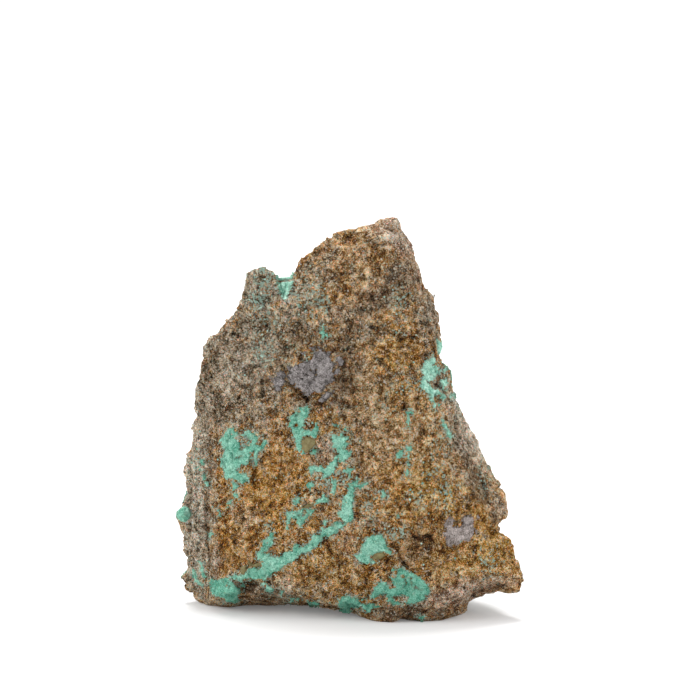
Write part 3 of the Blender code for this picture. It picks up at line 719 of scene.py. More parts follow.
FRONT_AJOITE_HOLES: tuple[Outline, ...] = (
    ((-23.0, 38.1), (-22.2, 38.5), (-20.8, 38.5), (-20.3, 37.6), (-20.4, 36.6), (-21.6, 36.3)),
    ((-20.1, 36.4), (-19.5, 37.4), (-19.6, 38.2), (-20.0, 37.5)),
    ((-23.2, 33.9), (-21.6, 34.4), (-21.6, 34.1), (-23.0, 33.7)),
    ((-22.0, 36.0), (-21.4, 36.3), (-20.8, 36.0), (-21.7, 35.7)),
    ((-11.0, 42.9), (-10.5, 42.9), (-10.4, 42.5), (-10.9, 42.5)),
    ((-10.9, 40.9), (-10.5, 40.9), (-10.5, 40.5), (-10.9, 40.5)),
    ((-9.6, 23.5), (-9.0, 23.9), (-8.5, 23.3), (-9.2, 22.9)),
    ((-9.5, 22.8), (-9.0, 22.7), (-9.1, 22.2), (-9.5, 22.4)), ((-10.2, 22.7), (-9.8, 22.7), (-9.9, 22.3)),
    ((-11.1, 25.8), (-10.6, 25.7), (-10.8, 25.3)), ((16.5, 49.2), (17.2, 49.3), (17.9, 48.8), (18.3, 47.3),
                                                    (17.5, 47.5), (16.2, 48.1)),
    ((15.2, 49.5), (15.8, 49.3), (16.3, 48.7), (15.6, 48.9)), ((16.5, 52.6), (17.0, 52.5), (16.8, 52.1)),
    ((10.1, 10.8), (10.9, 10.9), (11.1, 10.3), (10.4, 10.1)),
    ((12.0, 10.5), (12.4, 10.4), (12.3, 9.8), (11.9, 10.0)),
    ((12.6, 8.2), (13.0, 8.6), (13.5, 8.2), (13.1, 7.8)), ((11.0, 9.9), (11.4, 9.7), (11.2, 9.4)),
    ((14.9, 7.0), (15.7, 6.4), (15.6, 6.2), (14.9, 6.7)),
    ((10.2, 6.7), (11.4, 6.5), (11.4, 6.2), (10.3, 6.3)),
    ((-17.7, 13.3), (-17.2, 13.6), (-17.1, 13.1)), ((-24.7, 8.4), (-24.0, 8.3), (-24.3, 8.1)),
)

FRONT_GREY_CRUST: tuple[Outline, ...] = (
    # the upper crust and the pieces around it
    ((-12.4, 50.6), (-12.0, 51.1), (-12.3, 52.3), (-11.0, 52.0), (-9.8, 53.1), (-8.0, 53.3), (-7.4, 54.0),
     (-7.1, 54.9), (-6.2, 55.1), (-6.2, 56.1), (-5.6, 56.0), (-5.5, 54.9), (-4.4, 55.3), (-3.7, 55.1),
     (-3.9, 53.6), (-2.8, 52.6), (-3.5, 52.0), (-3.1, 50.8), (-3.2, 49.4), (-4.2, 49.2), (-5.0, 48.6),
     (-5.1, 47.6), (-7.6, 47.0), (-8.0, 46.3), (-8.9, 46.8), (-10.2, 48.1), (-12.0, 49.3)),
    ((-13.9, 51.4), (-13.1, 51.2), (-12.9, 49.6), (-13.9, 47.7), (-14.8, 47.5), (-15.1, 49.2),
     (-16.0, 50.5), (-14.8, 50.0)),
    ((-2.8, 53.9), (-1.9, 54.1), (-1.0, 53.2), (-1.7, 52.5), (-2.6, 52.8)),
    ((-2.9, 51.6), (-2.2, 51.8), (-2.0, 51.0), (-2.7, 50.8)),
    ((-3.2, 47.7), (-4.2, 47.2), (-5.2, 46.8), (-6.4, 45.3), (-5.2, 45.1), (-4.3, 46.0), (-3.8, 46.9)),
    ((-8.1, 56.1), (-7.2, 56.2), (-6.8, 55.6), (-7.7, 55.6)), ((-10.2, 55.2), (-9.2, 55.3), (-9.3, 54.8)),
    ((-3.6, 45.1), (-3.1, 45.3), (-3.3, 44.7)),
)

FRONT_GREY_LOW: tuple[Outline, ...] = (
    ((18.3, 21.0), (19.1, 21.5), (19.7, 22.3), (20.9, 21.8), (20.3, 20.6), (21.7, 20.3), (22.3, 20.6),
     (22.4, 21.8), (22.8, 22.6), (24.2, 22.7), (24.8, 22.3), (24.5, 20.7), (24.8, 19.5), (24.0, 18.3),
     (23.4, 17.4), (22.6, 17.9), (21.4, 16.8), (20.2, 16.9), (19.5, 16.2), (19.0, 17.6), (18.4, 19.0),
     (18.9, 19.8)),
    ((25.2, 22.9), (25.9, 22.2), (25.6, 21.8), (25.1, 22.2)),
    ((25.0, 20.1), (25.6, 19.6), (25.2, 18.9), (24.9, 19.4)),
)

FRONT_GREY_HOLES: tuple[Outline, ...] = (
    ((-7.6, 51.6), (-6.8, 51.5), (-6.6, 50.6), (-7.3, 50.9)), ((-7.3, 50.4), (-6.8, 50.3), (-7.1, 49.9)),
    ((-9.9, 50.2), (-9.4, 50.3), (-9.6, 49.9)), ((21.1, 19.0), (21.6, 18.9), (21.3, 18.6)),
)

OLIVE_PATCHES: tuple[Outline, ...] = (
    ((-9.6, 37.7), (-8.9, 38.3), (-7.9, 38.2), (-7.0, 37.7), (-6.9, 36.8), (-7.7, 35.8), (-8.3, 35.1),
     (-9.0, 35.3), (-9.6, 36.5)),
    ((4.3, 14.7), (5.6, 15.3), (6.8, 15.3), (7.0, 14.6), (5.9, 13.9), (4.6, 13.9)),
    ((-9.8, 24.3), (-8.4, 24.9), (-7.1, 25.1), (-7.2, 24.5), (-8.9, 24.0)),
    ((-21.8, 12.3), (-20.8, 12.6), (-20.6, 11.6), (-21.4, 10.6), (-21.9, 11.2)),
    ((-9.1, 23.7), (-8.6, 23.7), (-8.7, 23.2)),
    ((10.2, 10.7), (10.8, 10.8), (11.0, 10.4), (10.4, 10.2)),
    ((-20.4, 13.6), (-19.2, 12.9), (-17.4, 13.1), (-18.0, 12.3), (-20.0, 12.4)),
)

AJOITE_ELSEWHERE: dict[Side, tuple[Chain, ...]] = {
    Side.BACK: (
        ((-8.0, 12.0, 0.8), (-4.0, 18.0, 1.2), (1.0, 22.0, 0.9), (4.0, 29.0, 1.1), (5.0, 36.0, 0.7)),
        ((-4.0, 18.0, 1.0), (-9.0, 22.0, 0.7), (-11.0, 27.0, 0.4)),
        ((1.0, 22.0, 0.8), (7.0, 20.0, 0.6), (10.0, 16.0, 0.4)),
        ((-14.0, 44.0, 1.6), (-12.0, 41.0, 1.9), (-13.0, 38.0, 1.2)), ((-10.5, 45.0, 0.6), (-9.0, 42.0, 0.7)),
        ((15.0, 50.0, 1.0), (17.0, 47.0, 1.3), (16.0, 44.0, 0.8)),
        ((3.0, 58.0, 0.7), (1.0, 62.0, 0.9), (-1.0, 63.0, 0.5)),
        ((20.0, 24.0, 1.1), (22.0, 20.0, 1.4), (20.0, 17.0, 0.9)), ((-18.0, 14.0, 0.5), (-21.0, 11.0, 0.8)),
        ((-6.0, 52.0, 0.4), (-4.5, 49.0, 0.5), (-5.0, 46.0, 0.3)), ((12.0, 8.0, 0.9), (16.0, 7.0, 1.1)),
        ((-2.0, 6.0, 0.5), (2.0, 5.0, 0.7)), ((9.0, 34.0, 0.35),), ((11.0, 36.0, 0.4),),
        ((-15.0, 30.0, 0.5), (-16.0, 28.0, 0.3)), ((12.8, 68.0, 1.2), (13.4, 66.4, 1.2)),
    ),
    Side.LEFT: (
        ((2.0, 36.0, 0.8), (-1.0, 32.0, 1.1), (-3.0, 27.0, 0.7)),
        ((-7.0, 44.0, 0.6), (-9.0, 40.0, 0.9), (-8.0, 36.0, 0.5)),
        ((-5.0, 15.0, 0.8), (-8.0, 12.0, 1.2), (-9.0, 9.0, 0.6)), ((-2.0, 21.5, 0.7), (-4.2, 21.4, 1.2)),
        ((-4.0, 52.0, 0.5), (-5.0, 49.0, 0.6)),
        ((0.0, 8.0, 0.7), (-3.0, 5.5, 0.9)), ((-12.0, 24.0, 0.5), (-13.0, 20.0, 0.6)),
    ),
    Side.RIGHT: (
        ((0.0, 50.5, 0.9), (2.2, 47.0, 1.1), (3.4, 44.5, 0.6)),
        ((6.0, 36.0, 0.5), (7.0, 31.0, 0.8), (5.0, 27.0, 0.5)),
        ((1.0, 24.0, 0.4), (3.0, 22.0, 0.7), (6.0, 21.0, 0.4)), ((10.0, 12.0, 0.9), (8.0, 8.0, 1.1)),
        ((3.0, 62.0, 0.5), (5.0, 59.0, 0.8)), ((-4.0, 12.0, 0.5), (-2.0, 9.0, 0.6)),
    ),
    Side.TOP: (
        ((-3.0, 3.0, 0.6), (0.0, 4.5, 0.8), (2.0, 3.5, 0.4)), ((8.0, 4.0, 0.4), (9.0, 6.0, 0.6)),
    ),
    Side.UNDER: (
        ((-14.0, -6.0, 1.0), (-9.0, -3.0, 1.4), (-4.0, -4.0, 0.8)),
        ((6.0, 4.0, 0.7), (11.0, 6.0, 1.2), (15.0, 4.0, 0.6)), ((3.0, -8.0, 0.8), (8.0, -9.0, 1.0)),
    ),
}

GREY_CRUST_ELSEWHERE: dict[Side, tuple[Chain, ...]] = {
    Side.BACK: (((-3.0, 33.0, 1.4), (-5.0, 31.0, 1.8), (-4.0, 28.5, 1.2)),
                ((12.0, 60.0, 0.9), (10.5, 58.0, 1.2))),
    Side.LEFT: (((-9.0, 29.0, 0.8), (-10.0, 26.0, 1.1)),),
    Side.RIGHT: (((7.0, 17.0, 1.0), (8.0, 15.0, 0.8)),),
}


@dataclass
class Stone:
    """The broken block of matrix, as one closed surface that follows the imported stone.

    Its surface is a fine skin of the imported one, which is then given relief along its own normals.
    """

    name: str = "stone_matrix"
    cell: float = 0.405
    grain: float = 1.15
    foot_fade: float = 1.4
    points: Array = field(init=False, repr=False)
    quads: Array = field(init=False, repr=False)
    normals: Array = field(init=False, repr=False)

    def skin(self, node: bpy.types.Object) -> None:
        """Lays a skin of even four-cornered cells over a node of the frame.

        Args:
            node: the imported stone. It is copied and left as it is.
        """
        solid = bmesh.new()
        solid.from_mesh(node.data)
        bmesh.ops.remove_doubles(solid, verts=solid.verts, dist=1e-7)
        mesh = bpy.data.meshes.new("skin")
        solid.to_mesh(mesh)
        solid.free()
        copy = bpy.data.objects.new("skin", mesh)
        bpy.context.scene.collection.objects.link(copy)
        remesh = copy.modifiers.new("even cells", "REMESH")
        remesh.mode = "VOXEL"
        remesh.voxel_size = self.cell * MM
        points, self.quads = finished_points(copy)
        remove(copy)
        self.points = smoothed(points, self.quads, 7)
        self.normals = point_normals(self.points, self.quads)

    def notch(self) -> Array:
        """How far points move down so that none stands above the rim of the notch beside the horn."""
        across, up = SHEETS[Side.FRONT].place(self.points)
        return np.maximum(0.0, up - np.interp(across, *zip(*NOTCH_RIM)))

    def recessed(self) -> Array:
        """How far points move in from the front, which is each recess's depth with its rim eased."""
        sheet = SHEETS[Side.FRONT]
        across, up = sheet.place(self.points)
        depth = sum(recess.cover(across, up) for recess in RECESSES)
        return depth * ease(-0.2, 0.3, self.normals @ sheet.out)

    def nudged(self) -> Array:
        """How far points move sideways so that the outline seen from the front is the stone's."""
        across, up = SHEETS[Side.FRONT].place(self.points)
        return sum(nudge.move(across, up) for nudge in NUDGES)

    def relief(self, noise: Noise) -> Array:
        """How far the matrix stands out at each point.

        The sum of rough noise, broken facets of three sizes, domed grains, small steps where the rock split
        along slanting planes, upright flutes on the flanks, and pits where a slow noise is high.

        Args:
            noise: the fields to use.

        Returns:
            The heights along the normals, in millimetres.
        """
        where = self.points
        lumps = 0.34 * noise.rough(where / 5.5, 5, 0.5) + 0.12
        broken = 0.50 * noise.facets(where / 4.2) + 0.24 * noise.facets(where / 1.9 + 3.0)
        broken += 0.12 * noise.facets(where / 0.9 + 7.0)
        near, gap, tag = noise.grains((where + 0.25 * self.normals) / self.grain)
        domes = 0.08 * (0.55 - near) + 0.08 * (tag - 0.5) * ease(0.0, 0.25, gap)
        slant = where @ np.array([0.32, 0.25, 0.91]) + 1.1 * noise.waves(where / 5.0 + 3.0)
        steps = 0.22 * ease(0.2, 0.6, noise.waves(where / 9.0 + 8.0)) * ((slant / 1.9) % 1.0 - 0.5)
        upright = where * np.array([1.2, 1.2, 0.13])
        flutes = 0.28 * ease(0.35, 0.85, np.abs(self.normals[:, 0])) * noise.rough(upright, 2)
        pits = -0.6 * ease(0.50, 0.80, noise.waves(where / 1.7 + 31.0))
        return lumps + broken + domes + steps + flutes + pits

    def roughen(self, noise: Noise) -> None:
        """Gives the skin its recesses and its relief, and keeps the flat places it stands on."""
        free = ease(0.15, self.foot_fade, self.points[:, 2])
        self.points = self.points + self.nudged() * free[:, None]
        self.points = self.points - (self.recessed() * free)[:, None] * SHEETS[Side.FRONT].out
        self.points[:, 2] -= self.notch()
        self.points = smoothed(self.points, self.quads, 1)
        self.normals = point_normals(self.points, self.quads)
        self.points = self.points + self.normals * (self.relief(noise) * free)[:, None]
        self.points[:, 2] = np.maximum(self.points[:, 2], 0.0)
        self.normals = point_normals(self.points, self.quads)

    def hollows(self) -> Array:
        """How sunken each point is, from about -1 on an edge to 1 in a groove.

        The offset of the mean of its neighbourhood along the normal, over one broad and one narrow
        neighbourhood.
        """
        shares = np.bincount(self.quads.ravel(), minlength=len(self.points))[:, None]
        means = self.points
        total = np.zeros(len(self.points))
        for turn in range(6):
            means = spread(len(means), self.quads, means[self.quads].mean(axis=1)) / shares
            if turn in (1, 5):
                total += ((means - self.points) * self.normals).sum(axis=1)
        return np.clip(total * 3.5, -1.0, 1.0)

    def tones(self, noise: Noise) -> dict[Tone, Array]:
        """How strongly each tone shows at each point, from 0 to 1.

        On the front it is what the spots cover, at places that a noise has shifted, and specks of ajoite
        also fade out around its crusts. Elsewhere each tone covers the places where its own slow noise is
        high.
        """
        across, up = SHEETS[Side.FRONT].place(self.points)
        shifted_across = across + 0.9 * noise.rough(self.points / 2.4, 3)
        shifted_up = up + 0.9 * noise.rough(self.points / 2.4 + 9.0, 3)
        seen = ease(-0.02, 0.22, self.normals @ SHEETS[Side.FRONT].out)
        slow = {
            Tone.RUST: (11.0, -0.1, 0.5), Tone.GREY: (14.0, -0.15, 0.45), Tone.DARK_AND_SHADE: (6.0, 0.22, 0.62),
            Tone.PALE_AND_LIT: (6.5, 0.18, 0.65), Tone.PINK: (9.0, 0.25, 0.7), Tone.TEAL: (8.0, 0.0, 0.8),
            Tone.OCHRE: (7.5, 0.0, 0.6), Tone.TAN: (8.5, 0.15, 0.65),
        }
        depth = outline_depth(FRONT_AJOITE + FRONT_AJOITE_DEEP + FRONT_AJOITE_PALE, across, up)
        halo = 0.5 * np.exp(-(np.minimum(depth, 0.0) / 0.6) ** 2)
        tones = {}
        for row, (tone, (size, low, high)) in enumerate(slow.items()):
            front = sum(spot.cover(shifted_across, shifted_up) for spot in FRONT_SPOTS[tone])
            if tone is Tone.TEAL:
                front = np.maximum(front, halo)
            elsewhere = ease(low, high, noise.rough(self.points / size + 20.0 * row + 2.0, 3))
            tones[tone] = np.clip(front * seen + 0.8 * elsewhere * (1.0 - seen), 0.0, 1.0)
        return tones

    def build(self, node: bpy.types.Object, noise: Noise) -> bpy.types.Object:
        """Makes the stone and stores what its material reads.

        Args:
            node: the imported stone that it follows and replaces.
            noise: the fields for its relief and mottling.

        Returns:
            The finished object.
        """
        self.skin(node)
        self.roughen(noise)
        piece = make_mesh(self.name, self.points, self.quads)
        for tone, values in self.tones(noise).items():
            add_values(piece, tone.value, values)
        add_values(piece, "hollow", self.hollows())
        return piece


@dataclass
class Crust:
    """A thin crust that lies on one side of the stone, as a closed shell.

    It is a grid on the side's sheet, dropped onto the stone. Where the grid is inside the crust's outline
    it stands a little above the stone, and around it dips under.
    """

    name: str
    side: Side
    outlines: tuple[Outline, ...] = ()
    chains: tuple[Chain, ...] = ()
    holes: tuple[Outline, ...] = ()
    cell: float = 0.14
    thickness: float = 0.22
    raggedness: float = 0.17
    crumble: float = 0.30
    clump: float = 0.75
    clump_height: float = 0.11
    edge: float = 0.22
    buried: float = 0.5
    margin: float = 0.26
    longest_cell: float = 0.9
    held: float = 90.0

    def outline(self, across: Array, up: Array, noise: Noise) -> Array:
        """How deep places are inside the crust.

        The places are shifted by noise, which frays the edge, and a finer noise makes the edge crumble into
        specks and opens pits near it.
        """
        flat = np.stack([across, up, np.full(across.shape, float(len(self.name)))], axis=1)
        pulled_across = across + self.raggedness * noise.rough(flat / 0.9, 3, 0.85)
        pulled_up = up + self.raggedness * noise.rough(flat / 0.9 + 7.0, 3, 0.85)
        depth = np.maximum(outline_depth(self.outlines, pulled_across, pulled_up),
                           chain_depth(self.chains, pulled_across, pulled_up))
        if self.holes:
            depth = np.minimum(depth, -outline_depth(self.holes, pulled_across, pulled_up))
        crumbs = self.crumble * noise.rough(flat / 0.45 + 3.0, 2, 0.8) * ease(1.1, 0.0, np.abs(depth))
        pits = 0.4 * ease(0.5, 0.85, noise.waves(flat / 0.8 + 13.0)) * ease(1.2, 0.3, depth)
        return depth + 0.07 + crumbs - pits

    def dropped(self, across: Array, up: Array, stone: bpy.types.Object,
                shape: tuple[int, int]) -> tuple[Array, Array]:
        """Where each place of the sheet meets the stone.

        Args:
            across: places across the sheet, row by row of the grid.
            up: the same places up the sheet.
            stone: what the sheet is dropped onto.
            shape: the grid's rows and columns.

        Returns:
            Points on the stone, and whether the sheet meets it there at all.
        """
        start = SHEETS[self.side].lift(across, up, self.held)
        rows, columns = shape
        first = (np.arange(rows - 1)[:, None] * columns + np.arange(columns - 1)[None, :]).ravel()
        quads = np.stack([first, first + 1, first + columns + 1, first + columns], axis=1)
        sheet = make_mesh("sheet", start, quads)
        drop = sheet.modifiers.new("drop", "SHRINKWRAP")
        drop.target = stone
        drop.wrap_method = "PROJECT"
        drop.use_negative_direction = True
        drop.use_positive_direction = False
        points, _ = finished_points(sheet)
        remove(sheet)
        return points, np.linalg.norm(points - start, axis=1) > 1.0

    def surface_normals(self, grid: Array) -> Array:
        """Outward normals of a grid of points: the cross product of its two directions, evened out."""
        normals = np.cross(np.gradient(grid, axis=1), np.gradient(grid, axis=0))
        for _ in range(3):
            normals[1:-1, 1:-1] = (normals[1:-1, 1:-1] + 0.5 * (
                normals[:-2, 1:-1] + normals[2:, 1:-1] + normals[1:-1, :-2] + normals[1:-1, 2:])) / 3.0
        return normals / np.maximum(np.linalg.norm(normals, axis=2, keepdims=True), 1e-12)

    def heights(self, points: Array, depth: Array, noise: Noise) -> Array:
        """How far the crust stands above the stone.

        It rises over its edge to its thickness, with clumps as domed grains and a finer roughness on top,
        and sinks under the stone outside its edge.
        """
        rise = ease(-0.08, self.edge, depth)
        near, _, tag = noise.grains(points / self.clump)
        clumps = self.clump_height * (0.6 - near + 0.5 * (tag - 0.5))
        fine = 0.05 * noise.rough(points / 0.42, 3, 0.6) + 0.12 * noise.waves(points / 2.3)
        return rise * (self.thickness + clumps + fine) - 0.16 * (1.0 - rise)

    def kept_cells(self, depth: Array, met: Array, grid: Array) -> Array:
        """Which cells of the grid belong to the shell, as true or false for each.

        A cell is left out where the crust has ended, where the sheet misses the stone, or where it is
        stretched from one part of the stone to another. Where two cells would touch at one corner only, one of
        them is left out too.
        """
        near = (depth > -self.margin) & met
        kept = near[:-1, :-1] & near[1:, :-1] & near[:-1, 1:] & near[1:, 1:]
        steps_across = np.linalg.norm(np.diff(grid, axis=1), axis=2)
        steps_up = np.linalg.norm(np.diff(grid, axis=0), axis=2)
        longest = np.maximum.reduce([steps_across[:-1], steps_across[1:], steps_up[:, :-1], steps_up[:, 1:]])
        kept &= longest < self.longest_cell
        for _ in range(8):
            falling = kept[:-1, :-1] & kept[1:, 1:] & ~kept[:-1, 1:] & ~kept[1:, :-1]
            rising = ~kept[:-1, :-1] & ~kept[1:, 1:] & kept[:-1, 1:] & kept[1:, :-1]
            if not (falling.any() or rising.any()):
                break
            kept[:-1, 1:] &= ~rising
            kept[:-1, :-1] &= ~falling
        return kept

    def shell(self, top: Array, bottom: Array, kept: Array) -> tuple[Array, Array, Array]:
        """A closed shell between two grids of points.

        Args:
            top: the outer surface, as rows and columns of points.
            bottom: the surface under the stone, the same way.
            kept: which cells belong to it.

        Returns:
            Its points, its four-cornered faces, and which place of the grid each point belongs to. The
            faces are the outer cells, the inner ones turned over, and a wall along each edge that only one
            cell has.
        """
        rows, columns = top.shape[:2]
        row, column = np.nonzero(kept)
        first = row * columns + column
        outer = np.stack([first, first + 1, first + columns + 1, first + columns], axis=1)
        count = rows * columns
        starts = outer.ravel()
        ends = np.roll(outer, -1, axis=1).ravel()
        shared = np.isin(starts * count + ends, ends * count + starts)
        rim_start, rim_end = starts[~shared], ends[~shared]
        walls = np.stack([rim_end, rim_start, rim_start + count, rim_end + count], axis=1)
        faces = np.concatenate([outer, outer[:, ::-1] + count, walls])
        used, faces = np.unique(faces, return_inverse=True)
        points = np.concatenate([top.reshape(-1, 3), bottom.reshape(-1, 3)])[used]
        return points, faces.reshape(-1, 4), used % count

    def build(self, stone: bpy.types.Object, noise: Noise) -> bpy.types.Object:
        """Makes the crust.

        Args:
            stone: the finished stone that it lies on.
            noise: the fields for its edge and its clumps.

        Returns:
            The finished object, with how deep each point is inside the crust stored for its material.
        """
        places = [np.array(outline) for outline in self.outlines]
        for chain in self.chains:
            discs = np.array(chain)
            places += [discs[:, :2] - discs[:, 2:], discs[:, :2] + discs[:, 2:]]
        low = np.concatenate(places).min(axis=0) - 1.0
        high = np.concatenate(places).max(axis=0) + 1.0
        columns, rows = (np.ceil((high - low) / self.cell).astype(int) + 1)
        across, up = np.meshgrid(low[0] + self.cell * np.arange(columns),
                                 low[1] + self.cell * np.arange(rows))
        across, up = across.ravel(), up.ravel()
        depth = self.outline(across, up, noise)
        points, met = self.dropped(across, up, stone, (rows, columns))
        grid = points.reshape(rows, columns, 3)
        normals = self.surface_normals(grid)
        if self.side is not Side.FRONT:
            turned_forward = normals.reshape(-1, 3) @ SHEETS[Side.FRONT].out
            depth = depth - 3.0 * ease(0.0, 0.25, turned_forward)
        kept = self.kept_cells(depth.reshape(rows, columns), met.reshape(rows, columns), grid)
        heights = self.heights(points, depth, noise).reshape(rows, columns, 1)
        shell_points, faces, places = self.shell(grid + normals * heights, grid - normals * self.buried, kept)
        shell_points[:, 2] = np.maximum(shell_points[:, 2], 0.0)
        piece = make_mesh(self.name, shell_points, faces)
        add_values(piece, "inside", depth[places])
        return piece


@dataclass(frozen=True)
class Lump:
    """A rounded lump of clumped ajoite that stands out of the stone's side."""

    name: str
    centre: tuple[float, float, float]
    half_widths: tuple[float, float, float]
    clump: float = 0.8

    def build(self, noise: Noise) -> bpy.types.Object:
        """Makes the lump: a ball stretched to its half widths, swollen by noise and by domed clumps.

        Args:
            noise: the fields for its clumps.

        Returns:
            The finished object, with a depth stored for its material that counts it as far from an edge.
        """
        ball = bmesh.new()
        bmesh.ops.create_icosphere(ball, subdivisions=5, radius=1.0)
        mesh = bpy.data.meshes.new("ball")
        ball.to_mesh(mesh)
        ball.free()
        outward = np.empty(len(mesh.vertices) * 3, dtype=np.float32)
        mesh.vertices.foreach_get("co", outward)
        faces = np.empty(len(mesh.loops), dtype=np.int32)
        mesh.loops.foreach_get("vertex_index", faces)
        bpy.data.meshes.remove(mesh)
        outward = outward.reshape(-1, 3).astype(float)
        points = outward * np.array(self.half_widths) + np.array(self.centre)
        near, _, tag = noise.grains(points / self.clump)
        swelling = 0.22 * noise.rough(points / 1.2, 3) + 0.28 * (0.5 - near) + 0.12 * (tag - 0.5)
        piece = make_mesh(self.name, points + outward * swelling[:, None], faces.reshape(-1, 3))
        add_values(piece, "inside", np.full(len(points), 1.0))
        return piece


@dataclass
class Grains:
    """Thousands of loose grains of one kind that stick out of the matrix, as one mesh.

    Each is a squashed eight-faced crystal with its own size and turn, set in the stone to its waist.
    """

    name: str
    count: int
    smallest: float
    largest: float
    tone: Tone | None = None
    everywhere: float = 0.25
    squash: float = 0.25
    seed: int = 1

    def chosen(self, stone: Stone, tones: dict[Tone, Array], random: np.random.Generator) -> Array:
        """Which points of the stone carry a grain, likelier where the grains' tone is strong."""
        weight = np.full(len(stone.points), self.everywhere)
        if self.tone is not None:
            weight = weight + tones[self.tone]
        weight = weight * (stone.points[:, 2] > 0.8)
        return random.choice(len(weight), self.count, replace=False, p=weight / weight.sum())

    def build(self, stone: Stone, tones: dict[Tone, Array]) -> bpy.types.Object:
        """Makes the grains.

        A grain's six corners are three random directions at right angles, scaled by its size, squashed
        along the stone's normal, and added to its point.

        Args:
            stone: the stone that they are set in.
            tones: the stone's tones at its points.

        Returns:
            The finished object, with a random number for each grain stored for its material.
        """
        random = np.random.default_rng(self.seed)
        picked = self.chosen(stone, tones, random)
        axes, _ = np.linalg.qr(random.normal(size=(self.count, 3, 3)))
        sizes = self.smallest + (self.largest - self.smallest) * random.random(self.count) ** 2.2
        lengths = sizes[:, None, None] * random.uniform(0.6, 1.1, size=(self.count, 3, 1))
        corners = np.concatenate([axes * lengths, -axes * lengths], axis=1)
        normals = stone.normals[picked][:, None, :]
        height = (corners * normals).sum(axis=2, keepdims=True)
        corners = corners - (1.0 - self.squash) * height * normals
        centres = stone.points[picked] + random.uniform(-0.18, 0.18, size=(self.count, 3))
        points = (corners + centres[:, None, :]).reshape(-1, 3)
        turned = np.linalg.det(axes) < 0.0
        sides = np.array([[0, 1, 2], [1, 3, 2], [3, 4, 2], [4, 0, 2], [1, 0, 5], [3, 1, 5], [4, 3, 5],
                          [0, 4, 5]])
        faces = np.where(turned[:, None, None], sides[:, ::-1], sides)
        faces = faces + 6 * np.arange(self.count)[:, None, None]
        piece = make_mesh(self.name, points, faces.reshape(-1, 3))
        piece.data.shade_flat()
        add_values(piece, "own", np.repeat(random.random(self.count), 6))
        return piece


Colour = tuple[float, float, float]
Stop = tuple[float, Colour]


